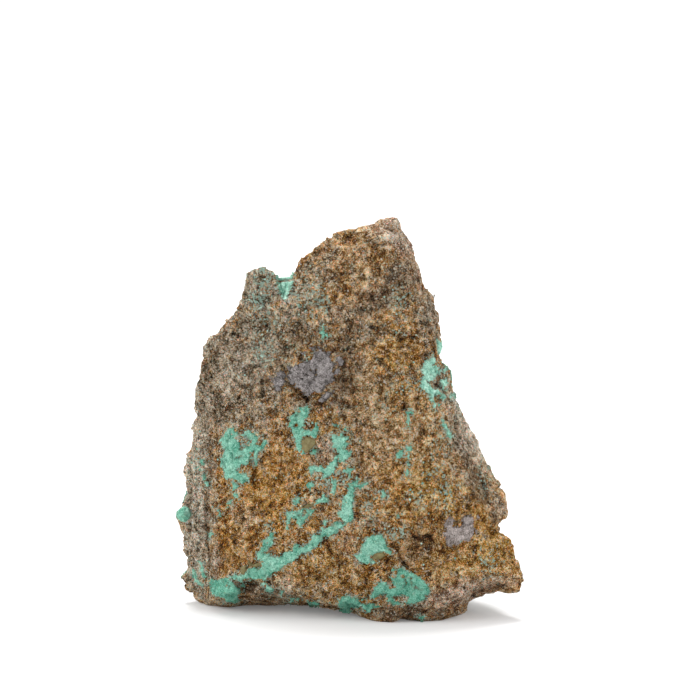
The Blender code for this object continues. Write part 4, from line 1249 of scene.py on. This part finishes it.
class Shader:
    """A material's nodes, laid from left to right as they are asked for."""

    def __init__(self, name: str, roughness: float, specular: float = 0.3) -> None:
        """Starts a material.

        Args:
            name: the material's name.
            roughness: how dull it is, where nothing else is joined.
            specular: how strongly it mirrors.
        """
        self.material = bpy.data.materials.new(name)
        self.material.use_nodes = True
        self.tree = self.material.node_tree
        self.surface = self.tree.nodes["Principled BSDF"]
        self.surface.inputs["Roughness"].default_value = roughness
        self.surface.inputs["Specular IOR Level"].default_value = specular
        coordinates = self.tree.nodes.new("ShaderNodeTexCoord")
        self.place = self.vector("MULTIPLY", coordinates.outputs["Object"], (1.0 / MM,) * 3)

    def put(self, kind: str, **settings: object) -> bpy.types.Node:
        """Adds a node and sets its properties."""
        node = self.tree.nodes.new(kind)
        for key, value in settings.items():
            setattr(node, key, value)
        node.location = (180.0 * len(self.tree.nodes), 0.0)
        return node

    def feed(self, socket: bpy.types.NodeSocket, value: object) -> None:
        """Joins a socket to another, or sets its value."""
        if isinstance(value, bpy.types.NodeSocket):
            self.tree.links.new(value, socket)
        elif isinstance(value, tuple) and len(value) == 3 and socket.type == "RGBA":
            socket.default_value = (*value, 1.0)
        else:
            socket.default_value = value

    def vector(self, operation: str, first: object, second: object) -> bpy.types.NodeSocket:
        """A sum or product of two vectors."""
        node = self.put("ShaderNodeVectorMath", operation=operation)
        self.feed(node.inputs[0], first)
        self.feed(node.inputs[1], second)
        return node.outputs[0]

    def sum(self, operation: str, first: object, second: object, clamp: bool = False) -> bpy.types.NodeSocket:
        """A sum, product or other reckoning with two numbers."""
        node = self.put("ShaderNodeMath", operation=operation, use_clamp=clamp)
        self.feed(node.inputs[0], first)
        self.feed(node.inputs[1], second)
        return node.outputs[0]

    def value(self, name: str) -> bpy.types.NodeSocket:
        """The number that the piece stores under a name."""
        return self.put("ShaderNodeAttribute", attribute_name=name).outputs["Fac"]

    def noise(self, size: float, detail: float = 4.0, roughness: float = 0.6, where: object = None,
              curl: float = 0.0) -> bpy.types.Node:
        """Noise with features about size millimetres wide, drawn out into curls if asked."""
        node = self.put("ShaderNodeTexNoise")
        node.inputs["Distortion"].default_value = curl
        node.inputs["Scale"].default_value = 1.0 / size
        node.inputs["Detail"].default_value = detail
        node.inputs["Roughness"].default_value = roughness
        self.feed(node.inputs["Vector"], where or self.place)
        return node

    def grains(self, size: float, where: object = None) -> bpy.types.Node:
        """Space broken into random grains about size millimetres wide."""
        node = self.put("ShaderNodeTexVoronoi")
        node.inputs["Scale"].default_value = 1.0 / size
        self.feed(node.inputs["Vector"], where or self.place)
        return node

    def jumbled(self, size: float, amount: float) -> bpy.types.NodeSocket:
        """Places pushed about by noise, so that what is laid on them gets ragged edges."""
        push = self.vector("SUBTRACT", self.noise(size, 2.0).outputs["Color"], (0.5, 0.5, 0.5))
        return self.vector("ADD", self.place, self.vector("MULTIPLY", push, (amount,) * 3))

    def one_of(self, colour: bpy.types.NodeSocket, which: int = 0) -> bpy.types.NodeSocket:
        """One of the three numbers of a random colour."""
        node = self.put("ShaderNodeSeparateColor")
        self.feed(node.inputs[0], colour)
        return node.outputs[which]

    def blend(self, *parts: tuple[bpy.types.NodeSocket, float]) -> bpy.types.NodeSocket:
        """0.5 plus each number's distance from 0.5, times its weight."""
        total: object = 0.5 - 0.5 * sum(weight for _, weight in parts)
        for socket, weight in parts:
            node = self.put("ShaderNodeMath", operation="MULTIPLY_ADD")
            for entry, value in zip(node.inputs, (socket, weight, total)):
                self.feed(entry, value)
            total = node.outputs[0]
        return total

    def threads(self, size: float, width: float, curl: float = 1.0,
                detail: float = 4.0) -> bpy.types.NodeSocket:
        """1 along the thin curling lines where a noise passes its middle, 0 away from them."""
        field_value = self.noise(size, detail, 0.65, None, curl).outputs["Fac"]
        off = self.sum("ABSOLUTE", self.sum("SUBTRACT", field_value, 0.5), 0.0)
        return self.span(off, 0.0, width, 1.0, 0.0)

    def span(self, value: object, low: float, high: float, to_low: float = 0.0,
             to_high: float = 1.0) -> bpy.types.NodeSocket:
        """A number's place between low and high, carried smoothly to between two others."""
        node = self.put("ShaderNodeMapRange", interpolation_type="SMOOTHSTEP")
        self.feed(node.inputs["Value"], value)
        for key, number in (("From Min", low), ("From Max", high), ("To Min", to_low), ("To Max", to_high)):
            node.inputs[key].default_value = number
        return node.outputs["Result"]

    def ramp(self, value: object, stops: Sequence[Stop]) -> bpy.types.NodeSocket:
        """The colour at a number, between colours set at some numbers."""
        node = self.put("ShaderNodeValToRGB")
        elements = node.color_ramp.elements
        while len(elements) < len(stops):
            elements.new(0.5)
        for element, (position, colour) in zip(elements, stops):
            element.position = position
            element.color = (*colour, 1.0)
        self.feed(node.inputs["Fac"], value)
        return node.outputs["Color"]

    def mix(self, share: object, first: object, second: object, how: str = "MIX") -> bpy.types.NodeSocket:
        """Two colours mixed by a share of the second."""
        node = self.put("ShaderNodeMix", data_type="RGBA", blend_type=how)
        self.feed(node.inputs["Factor"], share)
        self.feed(node.inputs[6], first)
        self.feed(node.inputs[7], second)
        return node.outputs[2]

    def bump(self, height: object, distance: float, strength: float = 1.0,
             under: object = None) -> bpy.types.NodeSocket:
        """Fine relief, distance millimetres high, laid over another if there is one."""
        node = self.put("ShaderNodeBump")
        node.inputs["Distance"].default_value = distance * MM
        node.inputs["Strength"].default_value = strength
        self.feed(node.inputs["Height"], height)
        if under is not None:
            self.feed(node.inputs["Normal"], under)
        return node.outputs["Normal"]


@dataclass(frozen=True)
class MatrixFinish:
    """Rusty, granular rock: dark, brown, orange and pale grains, stained in patches, with painted shade in its
    grooves, cracks and pores and in some dark patches, and painted light in some pale patches.
    """

    rusty: tuple[Stop, ...] = (
        (0.00, (0.018, 0.007, 0.003)), (0.20, (0.085, 0.035, 0.010)), (0.40, (0.240, 0.102, 0.024)),
        (0.58, (0.430, 0.198, 0.044)), (0.74, (0.590, 0.320, 0.085)), (0.90, (0.720, 0.480, 0.220)),
        (1.00, (0.780, 0.660, 0.480)),
    )
    greyish: tuple[Stop, ...] = (
        (0.00, (0.016, 0.012, 0.008)), (0.22, (0.073, 0.054, 0.035)), (0.45, (0.176, 0.138, 0.094)),
        (0.66, (0.315, 0.260, 0.190)), (0.84, (0.470, 0.400, 0.320)), (1.00, (0.690, 0.630, 0.540)),
    )
    warm: tuple[tuple[Tone, float, tuple[Stop, ...]], ...] = (
        (Tone.RUST, 0.85, (
            (0.00, (0.018, 0.007, 0.002)), (0.22, (0.115, 0.043, 0.009)), (0.40, (0.260, 0.102, 0.015)),
            (0.56, (0.420, 0.180, 0.022)), (0.72, (0.580, 0.275, 0.030)), (0.88, (0.700, 0.400, 0.080)),
            (1.00, (0.800, 0.580, 0.300)))),
        (Tone.OCHRE, 0.80, (
            (0.00, (0.020, 0.010, 0.003)), (0.22, (0.130, 0.061, 0.014)), (0.40, (0.285, 0.140, 0.029)),
            (0.56, (0.450, 0.240, 0.048)), (0.72, (0.610, 0.355, 0.072)), (0.88, (0.730, 0.480, 0.145)),
            (1.00, (0.800, 0.670, 0.440)))),
        (Tone.TAN, 0.95, (
            (0.00, (0.035, 0.020, 0.010)), (0.22, (0.165, 0.092, 0.040)), (0.40, (0.350, 0.205, 0.095)),
            (0.56, (0.530, 0.335, 0.165)), (0.72, (0.680, 0.470, 0.250)), (0.88, (0.780, 0.610, 0.400)),
            (1.00, (0.850, 0.770, 0.660)))),
    )
    cool: tuple[tuple[Tone, float, tuple[Stop, ...]], ...] = (
        (Tone.PINK, 0.90, (
            (0.00, (0.042, 0.024, 0.017)), (0.22, (0.150, 0.090, 0.064)), (0.40, (0.290, 0.180, 0.130)),
            (0.56, (0.430, 0.285, 0.215)), (0.72, (0.580, 0.415, 0.330)), (0.88, (0.710, 0.570, 0.480)),
            (1.00, (0.830, 0.750, 0.680)))),
        (Tone.PALE_AND_LIT, 0.95, (
            (0.00, (0.050, 0.040, 0.029)), (0.22, (0.185, 0.145, 0.102)), (0.40, (0.360, 0.293, 0.215)),
            (0.56, (0.510, 0.432, 0.335)), (0.72, (0.650, 0.575, 0.475)), (0.88, (0.770, 0.715, 0.630)),
            (1.00, (0.870, 0.840, 0.790)))),
        # The dark wash, which is both dark stain and painted shade.
        (Tone.DARK_AND_SHADE, 0.95, (
            (0.00, (0.006, 0.004, 0.003)), (0.30, (0.024, 0.016, 0.010)), (0.50, (0.058, 0.038, 0.024)),
            (0.70, (0.140, 0.095, 0.060)), (1.00, (0.370, 0.300, 0.230)))),
    )
    tints: tuple[Stop, ...] = (
        (0.30, (1.50, 0.76, 0.90)), (0.42, (1.22, 1.00, 0.66)), (0.50, (1.0, 1.0, 1.0)),
        (0.58, (0.84, 1.07, 0.92)), (0.70, (0.86, 1.00, 1.40)),
    )
    coarse: float = 1.05
    fine: float = 0.40

    def washed(self, shader: Shader, colour: object, grain: object, uneven: object,
               washes: tuple[tuple[Tone, float, tuple[Stop, ...]], ...]) -> object:
        """A colour with the tones laid over it in order, each as strongly as the stone's own value says.

        Args:
            shader: the material's nodes.
            colour: what the tones are laid over.
            grain: picks the colour within each tone.
            uneven: a share that makes the tones patchy.
            washes: each tone with its greatest share and its colours.

        Returns:
            The colour's socket.
        """
        for tone, most, stops in washes:
            share = shader.sum("MULTIPLY", shader.sum("MULTIPLY", shader.value(tone.value), most), uneven)
            colour = shader.mix(share, colour, shader.ramp(grain, stops))
        return colour

    def make(self) -> bpy.types.Material:
        """Builds the material."""
        shader = Shader("rusty matrix", 0.9, 0.06)
        ragged = shader.jumbled(0.5, 0.75)
        coarse = shader.grains(self.coarse, ragged)
        fine = shader.grains(self.fine, ragged)
        dust = shader.noise(0.26, 2.0, 0.8, shader.jumbled(0.9, 1.4), 0.9)
        bright, dim = shader.threads(0.50, 0.075, 1.3, 2.0), shader.threads(0.62, 0.070, 1.6, 2.0)
        speck = shader.noise(0.62, 4.0, 0.75, curl=0.9)
        mottle = shader.noise(1.3, 3.0, 0.6, curl=0.6)
        blotch = shader.noise(2.9, 4.0, 0.6)
        patch = shader.grains(2.2, shader.jumbled(1.2, 1.8))
        grain = shader.blend(
            (shader.one_of(coarse.outputs["Color"]), 0.20), (shader.one_of(fine.outputs["Color"]), 0.30),
            (dust.outputs["Fac"], 1.3), (speck.outputs["Fac"], 0.6), (mottle.outputs["Fac"], 1.3),
            (blotch.outputs["Fac"], 1.6),
            (shader.noise(0.14, 0.0).outputs["Fac"], 1.8), (bright, 0.24), (dim, -0.24))
        # Painted shade and light: the grain is pushed darker in the stone's grooves and paler on its edges.
        grain = shader.sum("SUBTRACT", grain, shader.sum("MULTIPLY", shader.value("hollow"), 0.18), True)
        warm = shader.blend((shader.value("rust"), 0.40), (shader.value("ochre"), 0.35),
                            (shader.value("tan"), 0.25))
        grey = shader.blend(
            (shader.one_of(fine.outputs["Color"], 1), 0.80),
            (shader.one_of(coarse.outputs["Color"], 1), 0.60),
            (shader.one_of(patch.outputs["Color"], 1), 0.60),
            (shader.noise(0.55, 3.0, 0.7, curl=0.8).outputs["Fac"], 3.0),
            (shader.noise(1.2, 3.0, 0.7, curl=0.8).outputs["Fac"], 2.4),
            (shader.noise(3.0, 3.0).outputs["Fac"], 1.6))
        grey = shader.sum("SUBTRACT", shader.sum("SUBTRACT", grey, warm), 0.24)
        grey = shader.sum("ADD", grey, shader.value("grey"), True)
        uneven = shader.span(speck.outputs["Fac"], 0.34, 0.60, 0.55, 1.0)
        warm_colour = self.washed(shader, shader.ramp(grain, self.rusty), grain, uneven, self.warm)
        colour = shader.mix(grey, warm_colour, shader.ramp(grain, self.greyish))
        colour = self.washed(shader, colour, grain, uneven, self.cool)
        tint = shader.noise(0.24, 1.0, 0.7)
        colour = shader.mix(1.0, colour, shader.ramp(tint.outputs["Fac"], self.tints), "MULTIPLY")
        # Painted shade: thin cracks are drawn near-black, for the shade inside them.
        cracks = shader.threads(1.3, 0.030)
        colour = shader.mix(shader.sum("MULTIPLY", cracks, 0.55), colour, (0.018, 0.011, 0.006))
        flecks = shader.grains(0.34, shader.jumbled(0.3, 0.5))
        chance = shader.span(shader.noise(2.4, 3.0, 0.7).outputs["Fac"], 0.45, 0.68, 0.01, 0.24)
        chance = shader.sum("SUBTRACT", chance, shader.sum("MULTIPLY", shader.value("rust"), 0.10))
        lit = shader.span(shader.sum("SUBTRACT", chance, shader.one_of(flecks.outputs["Color"])), -0.02,
                          0.03, 0.0, 0.8)
        fleck = shader.mix(shader.one_of(flecks.outputs["Color"], 2), (0.56, 0.38, 0.20), (0.62, 0.58, 0.50))
        colour = shader.mix(lit, colour, fleck)
        # Painted shade: near-black specks stand for the shade inside small pores.
        pores = shader.grains(0.42, shader.jumbled(0.3, 0.5))
        chance = shader.span(shader.noise(1.8, 3.0, 0.7).outputs["Fac"], 0.45, 0.68, 0.01, 0.20)
        deep = shader.span(shader.sum("SUBTRACT", chance, shader.one_of(pores.outputs["Color"])), -0.02,
                           0.03, 0.0, 0.75)
        colour = shader.mix(deep, colour, (0.022, 0.014, 0.009))
        film = shader.grains(0.36, shader.jumbled(0.4, 0.6))
        chance = shader.sum("MULTIPLY", shader.value("teal"), 0.62)
        teal = shader.span(shader.sum("SUBTRACT", chance, shader.one_of(film.outputs["Color"])), -0.03, 0.08,
                           0.0, 0.75)
        colour = shader.mix(teal, colour, (0.33, 0.47, 0.39))
        shader.feed(shader.surface.inputs["Base Color"], colour)
        shader.feed(shader.surface.inputs["Roughness"], shader.span(grain, 0.0, 1.0, 0.97, 0.75))
        relief = shader.bump(shader.one_of(coarse.outputs["Color"], 2), 0.12, 0.6)
        relief = shader.bump(shader.one_of(fine.outputs["Color"], 2), 0.08, 0.7, relief)
        relief = shader.bump(speck.outputs["Fac"], 0.32, 0.8, relief)
        relief = shader.bump(shader.sum("SUBTRACT", bright, dim), 0.07, 0.8, relief)
        relief = shader.bump(dust.outputs["Fac"], 0.24, 0.9, relief)
        relief = shader.bump(cracks, -0.10, 0.8, relief)
        shader.feed(shader.surface.inputs["Normal"], relief)
        return shader.material


@dataclass(frozen=True)
class AjoiteFinish:
    """Dull blue-green crust, paler on its clumps, deeper in between, stained along its edge and darkened at
    the very edge partly as painted shade.
    """

    name: str = "ajoite"
    deep: Colour = (0.045, 0.215, 0.150)
    body: Colour = (0.150, 0.430, 0.305)
    light: Colour = (0.370, 0.670, 0.540)

    def make(self) -> bpy.types.Material:
        """Builds the material."""
        shader = Shader(self.name, 0.85, 0.12)
        clumps = shader.grains(0.6, shader.jumbled(0.4, 0.45))
        fine = shader.noise(0.22, 2.0, 0.8, shader.jumbled(0.7, 1.0), 0.8)
        streak = shader.noise(0.8, 4.0, 0.7, curl=1.0)
        broad = shader.noise(2.4, 3.0)
        lines, seams = shader.threads(0.55, 0.07, 1.3, 2.0), shader.threads(0.8, 0.05, 1.5, 2.0)
        tone = shader.blend((broad.outputs["Fac"], 1.2), (streak.outputs["Fac"], 1.1),
                            (fine.outputs["Fac"], 1.5), (shader.one_of(clumps.outputs["Color"]), 0.24),
                            (shader.noise(0.14, 0.0).outputs["Fac"], 0.9), (lines, 0.22), (seams, -0.22))
        colour = shader.ramp(tone, ((0.08, self.deep), (0.40, self.body), (0.84, self.light)))
        crack = shader.span(shader.noise(1.1, 5.0, 0.75, curl=1.5).outputs["Fac"], 0.42, 0.36)
        colour = shader.mix(shader.sum("MULTIPLY", crack, 0.4), colour, (0.045, 0.130, 0.090))
        colour = shader.mix(shader.sum("MULTIPLY", seams, 0.2), colour, (0.040, 0.125, 0.085))
        near_edge = shader.span(shader.value("inside"), 0.65, 0.0)
        stained = shader.span(shader.sum("ADD", shader.noise(0.6, 4.0, 0.7).outputs["Fac"],
                                         shader.sum("MULTIPLY", near_edge, 0.07)), 0.57, 0.66)
        colour = shader.mix(shader.sum("MULTIPLY", stained, 0.5), colour, (0.210, 0.190, 0.090))
        # Partly olive staining and partly painted shade: the crust is darkened towards olive-brown at its very
        # edge.
        rim = shader.sum("MULTIPLY", shader.span(shader.value("inside"), 0.08, -0.05), 0.35)
        colour = shader.mix(rim, colour, (0.150, 0.170, 0.080))
        shader.feed(shader.surface.inputs["Base Color"], colour)
        shader.feed(shader.surface.inputs["Roughness"],
                    shader.span(fine.outputs["Fac"], 0.3, 0.7, 0.92, 0.75))
        relief = shader.bump(clumps.outputs["Distance"], -0.16, 0.6)
        relief = shader.bump(streak.outputs["Fac"], 0.40, 0.8, relief)
        relief = shader.bump(shader.sum("SUBTRACT", lines, seams), 0.06, 0.8, relief)
        shader.feed(shader.surface.inputs["Normal"], shader.bump(fine.outputs["Fac"], 0.14, 0.8, relief))
        return shader.material


DEEP_AJOITE = AjoiteFinish("deep ajoite", (0.030, 0.175, 0.118), (0.105, 0.360, 0.250), (0.260, 0.570, 0.440))
PALE_AJOITE = AjoiteFinish("pale ajoite", (0.090, 0.310, 0.225), (0.290, 0.610, 0.470), (0.560, 0.850, 0.720))


@dataclass(frozen=True)
class GreyCrustFinish:
    """Lilac-grey crust of fine matted needles, darkened towards its edge as painted shade."""

    name: str = "grey crust"
    dark: Colour = (0.040, 0.034, 0.030)
    body: Colour = (0.265, 0.232, 0.218)
    light: Colour = (0.700, 0.650, 0.640)

    def make(self) -> bpy.types.Material:
        """Builds the material."""
        shader = Shader(self.name, 0.9, 0.1)
        needles = shader.noise(0.24, 2.0, 0.8, shader.jumbled(0.6, 1.2), 1.8)
        broad = shader.noise(1.5, 4.0, 0.6)
        lines, gaps = shader.threads(0.45, 0.09, 1.8, 2.0), shader.threads(0.55, 0.08, 1.8, 2.0)
        tone = shader.blend((needles.outputs["Fac"], 4.4), (broad.outputs["Fac"], 1.6), (lines, 0.35),
                            (gaps, -0.30))
        colour = shader.ramp(tone, ((0.12, self.dark), (0.48, self.body), (0.90, self.light)))
        # Painted shade: the crust turns near-black towards its edge, as the shade under its raised rim.
        rim = shader.sum("MULTIPLY", shader.span(shader.value("inside"), 0.22, -0.05), 0.6)
        colour = shader.mix(rim, colour, (0.07, 0.055, 0.04))
        shader.feed(shader.surface.inputs["Base Color"], colour)
        shader.feed(shader.surface.inputs["Normal"],
                    shader.bump(shader.sum("SUBTRACT", lines, gaps), 0.12, 0.9,
                                                                   shader.bump(needles.outputs["Fac"], 0.45,
                                                                               0.9)))
        return shader.material


@dataclass(frozen=True)
class OliveFinish:
    """Smooth olive-green lumps, browner at the bottom of their relief."""

    def make(self) -> bpy.types.Material:
        """Builds the material."""
        shader = Shader("olive lumps", 0.6, 0.35)
        tone = shader.noise(0.7, 4.0)
        colour = shader.ramp(tone.outputs["Fac"], ((0.3, (0.085, 0.060, 0.016)),
                                                   (0.7, (0.175, 0.150, 0.060))))
        shader.feed(shader.surface.inputs["Base Color"], colour)
        shader.feed(shader.surface.inputs["Normal"], shader.bump(tone.outputs["Fac"], 0.10, 0.6))
        return shader.material


@dataclass(frozen=True)
class GrainFinish:
    """Small grains, each in its own mix between two colours."""

    name: str
    first: Colour
    second: Colour
    roughness: float = 0.6

    def make(self) -> bpy.types.Material:
        """Builds the material."""
        shader = Shader(self.name, self.roughness, 0.4)
        fine = shader.noise(0.2, 2.0)
        share = shader.sum("ADD", shader.value("own"), shader.sum("MULTIPLY", fine.outputs["Fac"], 0.3))
        colour = shader.mix(shader.sum("SUBTRACT", share, 0.15, True), self.first, self.second)
        shader.feed(shader.surface.inputs["Base Color"], colour)
        shader.feed(shader.surface.inputs["Normal"], shader.bump(fine.outputs["Fac"], 0.05, 0.6))
        return shader.material


@dataclass(frozen=True)
class Lamp:
    """A square soft light: its power in watts, its width and its place, in metres."""

    name: str
    power: float
    width: float
    place: tuple[float, float, float]


@dataclass(frozen=True)
class Studio:
    """A white sweep with soft light from all around, from above and from both sides, and the camera."""

    aim_height: float = 56.8
    distance: float = 2000.0
    frame_width: float = 138.25
    sensor: float = 36.0
    floor_size: float = 6000.0
    sky: float = 0.88
    glow: float = 0.12
    lamps: tuple[Lamp, ...] = (
        Lamp("top", 7.0, 0.32, (-0.05, 0.26, 0.68)),
        Lamp("left", 3.0, 0.35, (-0.60, -0.25, 0.32)),
        Lamp("right", 2.2, 0.35, (0.62, -0.22, 0.30)),
    )

    def camera(self) -> None:
        """Places the camera so that the stone stands in the picture as it does in the photograph."""
        lens = bpy.data.cameras.new("camera")
        lens.sensor_width = self.sensor
        lens.lens = self.sensor * self.distance / self.frame_width
        lens.clip_end = 20.0
        holder = bpy.data.objects.new("camera", lens)
        back = self.distance * np.array([0.0, -math.cos(SIGHT_DOWN), math.sin(SIGHT_DOWN)])
        holder.location = (np.array([0.0, SIGHT_FOOT, self.aim_height]) + back) * MM
        holder.rotation_euler = (math.pi / 2 - SIGHT_DOWN, 0.0, 0.0)
        bpy.context.scene.collection.objects.link(holder)
        bpy.context.scene.camera = holder

    def hang(self, lamp: Lamp) -> None:
        """Adds a lamp that shines at the stone's middle."""
        light = bpy.data.lights.new(lamp.name, "AREA")
        light.energy = lamp.power
        light.size = lamp.width
        holder = bpy.data.objects.new(lamp.name, light)
        holder.location = lamp.place
        aim = np.array([0.0, 0.0, 0.04]) - np.array(lamp.place)
        tilt = math.atan2(math.hypot(aim[0], aim[1]), -aim[2])
        holder.rotation_euler = (tilt, 0.0, math.atan2(aim[1], aim[0]) - math.pi / 2)
        bpy.context.scene.collection.objects.link(holder)

    def floor(self) -> None:
        """Lays the pale floor."""
        half = self.floor_size / 2
        corners = np.array([[-half, -half, 0.0], [half, -half, 0.0], [half, half, 0.0], [-half, half, 0.0]])
        floor = make_mesh("floor", corners, np.array([[0, 1, 2, 3]]))
        shader = Shader("pale floor", 0.9, 0.1)
        shader.feed(shader.surface.inputs["Base Color"], (0.66, 0.656, 0.655))
        shader.feed(shader.surface.inputs["Emission Color"], (1.0, 1.0, 1.0))
        shader.feed(shader.surface.inputs["Emission Strength"], self.glow)
        floor.data.materials.append(shader.material)
        floor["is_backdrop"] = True

    def build(self) -> None:
        """Sets up the floor, the light and the camera."""
        self.floor()
        world = bpy.data.worlds.new("soft white")
        world.use_nodes = True
        world.node_tree.nodes["Background"].inputs["Color"].default_value = (1.0, 1.0, 1.0, 1.0)
        world.node_tree.nodes["Background"].inputs["Strength"].default_value = self.sky
        bpy.context.scene.world = world
        bpy.context.scene.view_settings.view_transform = "Standard"
        for lamp in self.lamps:
            self.hang(lamp)
        self.camera()


@dataclass
class Specimen:
    """The whole piece: the stone, its crusts and its grains."""

    noise: Noise = field(default_factory=lambda: Noise(11))
    stone: Stone = field(default_factory=Stone)
    ajoite: bpy.types.Material = field(default_factory=lambda: AjoiteFinish().make())
    pale_ajoite: bpy.types.Material = field(default_factory=lambda: PALE_AJOITE.make())
    lumps: tuple[Lump, ...] = (
        Lump("ajoite_nub", (-33.3, 1.0, 18.6), (1.35, 1.4, 1.55)),
        Lump("ajoite_rim", (17.3, 1.0, 53.2), (1.0, 1.6, 2.0)),
    )

    def crusts(self) -> list[tuple[Crust, str, bpy.types.Material]]:
        """Every crust with its slot and finish."""
        grey = GreyCrustFinish().make()
        pale = GreyCrustFinish("pale grey crust", (0.120, 0.096, 0.080), (0.440, 0.362, 0.326),
                               (0.800, 0.720, 0.690)).make()
        deeper = DEEP_AJOITE.make()
        made = []
        for name, outlines, material in (("ajoite_front", FRONT_AJOITE, self.ajoite),
                                         ("ajoite_front_deep", FRONT_AJOITE_DEEP, deeper),
                                         ("ajoite_front_pale", FRONT_AJOITE_PALE, self.pale_ajoite)):
            made.append((Crust(name, Side.FRONT, outlines, holes=FRONT_AJOITE_HOLES), "ajoite", material))
        for side, chains in AJOITE_ELSEWHERE.items():
            crust = Crust(f"ajoite_{side.value}", side, chains=chains, cell=0.17, raggedness=0.4)
            made.append((crust, "ajoite", self.ajoite))
        fuzzy = {"thickness": 0.42, "raggedness": 0.26, "clump": 0.55, "clump_height": 0.06, "crumble": 0.42}
        crust = Crust("grey_crust_front", Side.FRONT, FRONT_GREY_CRUST, holes=FRONT_GREY_HOLES, **fuzzy)
        made.append((crust, "grey_crust", grey))
        crust = Crust("grey_crust_low", Side.FRONT, FRONT_GREY_LOW, **fuzzy | {"thickness": 0.3})
        made.append((crust, "grey_crust", pale))
        for side, chains in GREY_CRUST_ELSEWHERE.items():
            crust = Crust(f"grey_crust_{side.value}", side, chains=chains, cell=0.17, **fuzzy)
            made.append((crust, "grey_crust", grey))
        olive = Crust("olive_lumps", Side.FRONT, OLIVE_PATCHES, thickness=0.26, raggedness=0.1, crumble=0.12,
                      clump=1.6)
        made.append((olive, "matrix", OliveFinish().make()))
        return made

    def grains(self) -> list[tuple[Grains, str, bpy.types.Material]]:
        """Every kind of loose grain with its slot and finish."""
        pale = GrainFinish("pale grains", (0.16, 0.12, 0.08), (0.42, 0.36, 0.28)).make()
        dark = GrainFinish("dark grains", (0.025, 0.016, 0.010), (0.10, 0.055, 0.025), 0.6).make()
        rusty = GrainFinish("rusty grains", (0.09, 0.036, 0.010), (0.34, 0.16, 0.045), 0.7).make()
        teal = GrainFinish("ajoite grains", (0.12, 0.26, 0.20), (0.34, 0.50, 0.42), 0.7).make()
        return [
            # Dark grains gather where the dark tone, partly painted shade, is strong, and pale grains where
            # the pale tone, partly painted light, is strong.
            (Grains("grains_pale", 6000, 0.12, 0.36, Tone.PALE_AND_LIT, 0.35, seed=3), "matrix", pale),
            (Grains("grains_dark", 4000, 0.12, 0.34, Tone.DARK_AND_SHADE, 0.35, seed=4), "matrix", dark),
            (Grains("grains_rusty", 6000, 0.12, 0.38, Tone.RUST, 0.5, seed=6), "matrix", rusty),
            (Grains("grains_ajoite", 8000, 0.10, 0.30, Tone.TEAL, 0.03, seed=5), "ajoite", teal),
        ]

    def build(self, node: bpy.types.Object) -> None:
        """Makes and dresses every piece.

        Args:
            node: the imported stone.
        """
        body = self.stone.build(node, self.noise)
        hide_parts(NODE)
        dress(body, MatrixFinish().make())
        log.info("%s: %d faces", self.stone.name, len(body.data.polygons))
        for crust, slot, material in self.crusts():
            piece = crust.build(body, self.noise)
            dress(piece, material)
            log.info("%s: %d faces", crust.name, len(piece.data.polygons))
        for lump in self.lumps:
            piece = lump.build(self.noise)
            dress(piece, self.pale_ajoite if lump.name == "ajoite_rim" else self.ajoite)
            log.info("%s: %d faces", lump.name, len(piece.data.polygons))
        tones = self.stone.tones(self.noise)
        for grains, slot, material in self.grains():
            piece = grains.build(self.stone, tones)
            dress(piece, material)
            log.info("%s: %d faces", grains.name, len(piece.data.polygons))


def as_lists(bounds: object) -> object:
    """Nested lists of plain numbers from whatever holds them."""
    if isinstance(bounds, (int, float)):
        return float(bounds)
    return [as_lists(part) for part in bounds]


def main() -> None:
    """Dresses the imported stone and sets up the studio."""
    logging.basicConfig(level=logging.INFO, format="%(name)s: %(message)s")
    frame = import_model()
    cad_box = as_lists(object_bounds())
    Specimen().build(frame["nodes"][NODE])
    Studio().build()
    {"cad": cad_box, "visual": as_lists(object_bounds())}


if __name__ == "__main__":
    main()
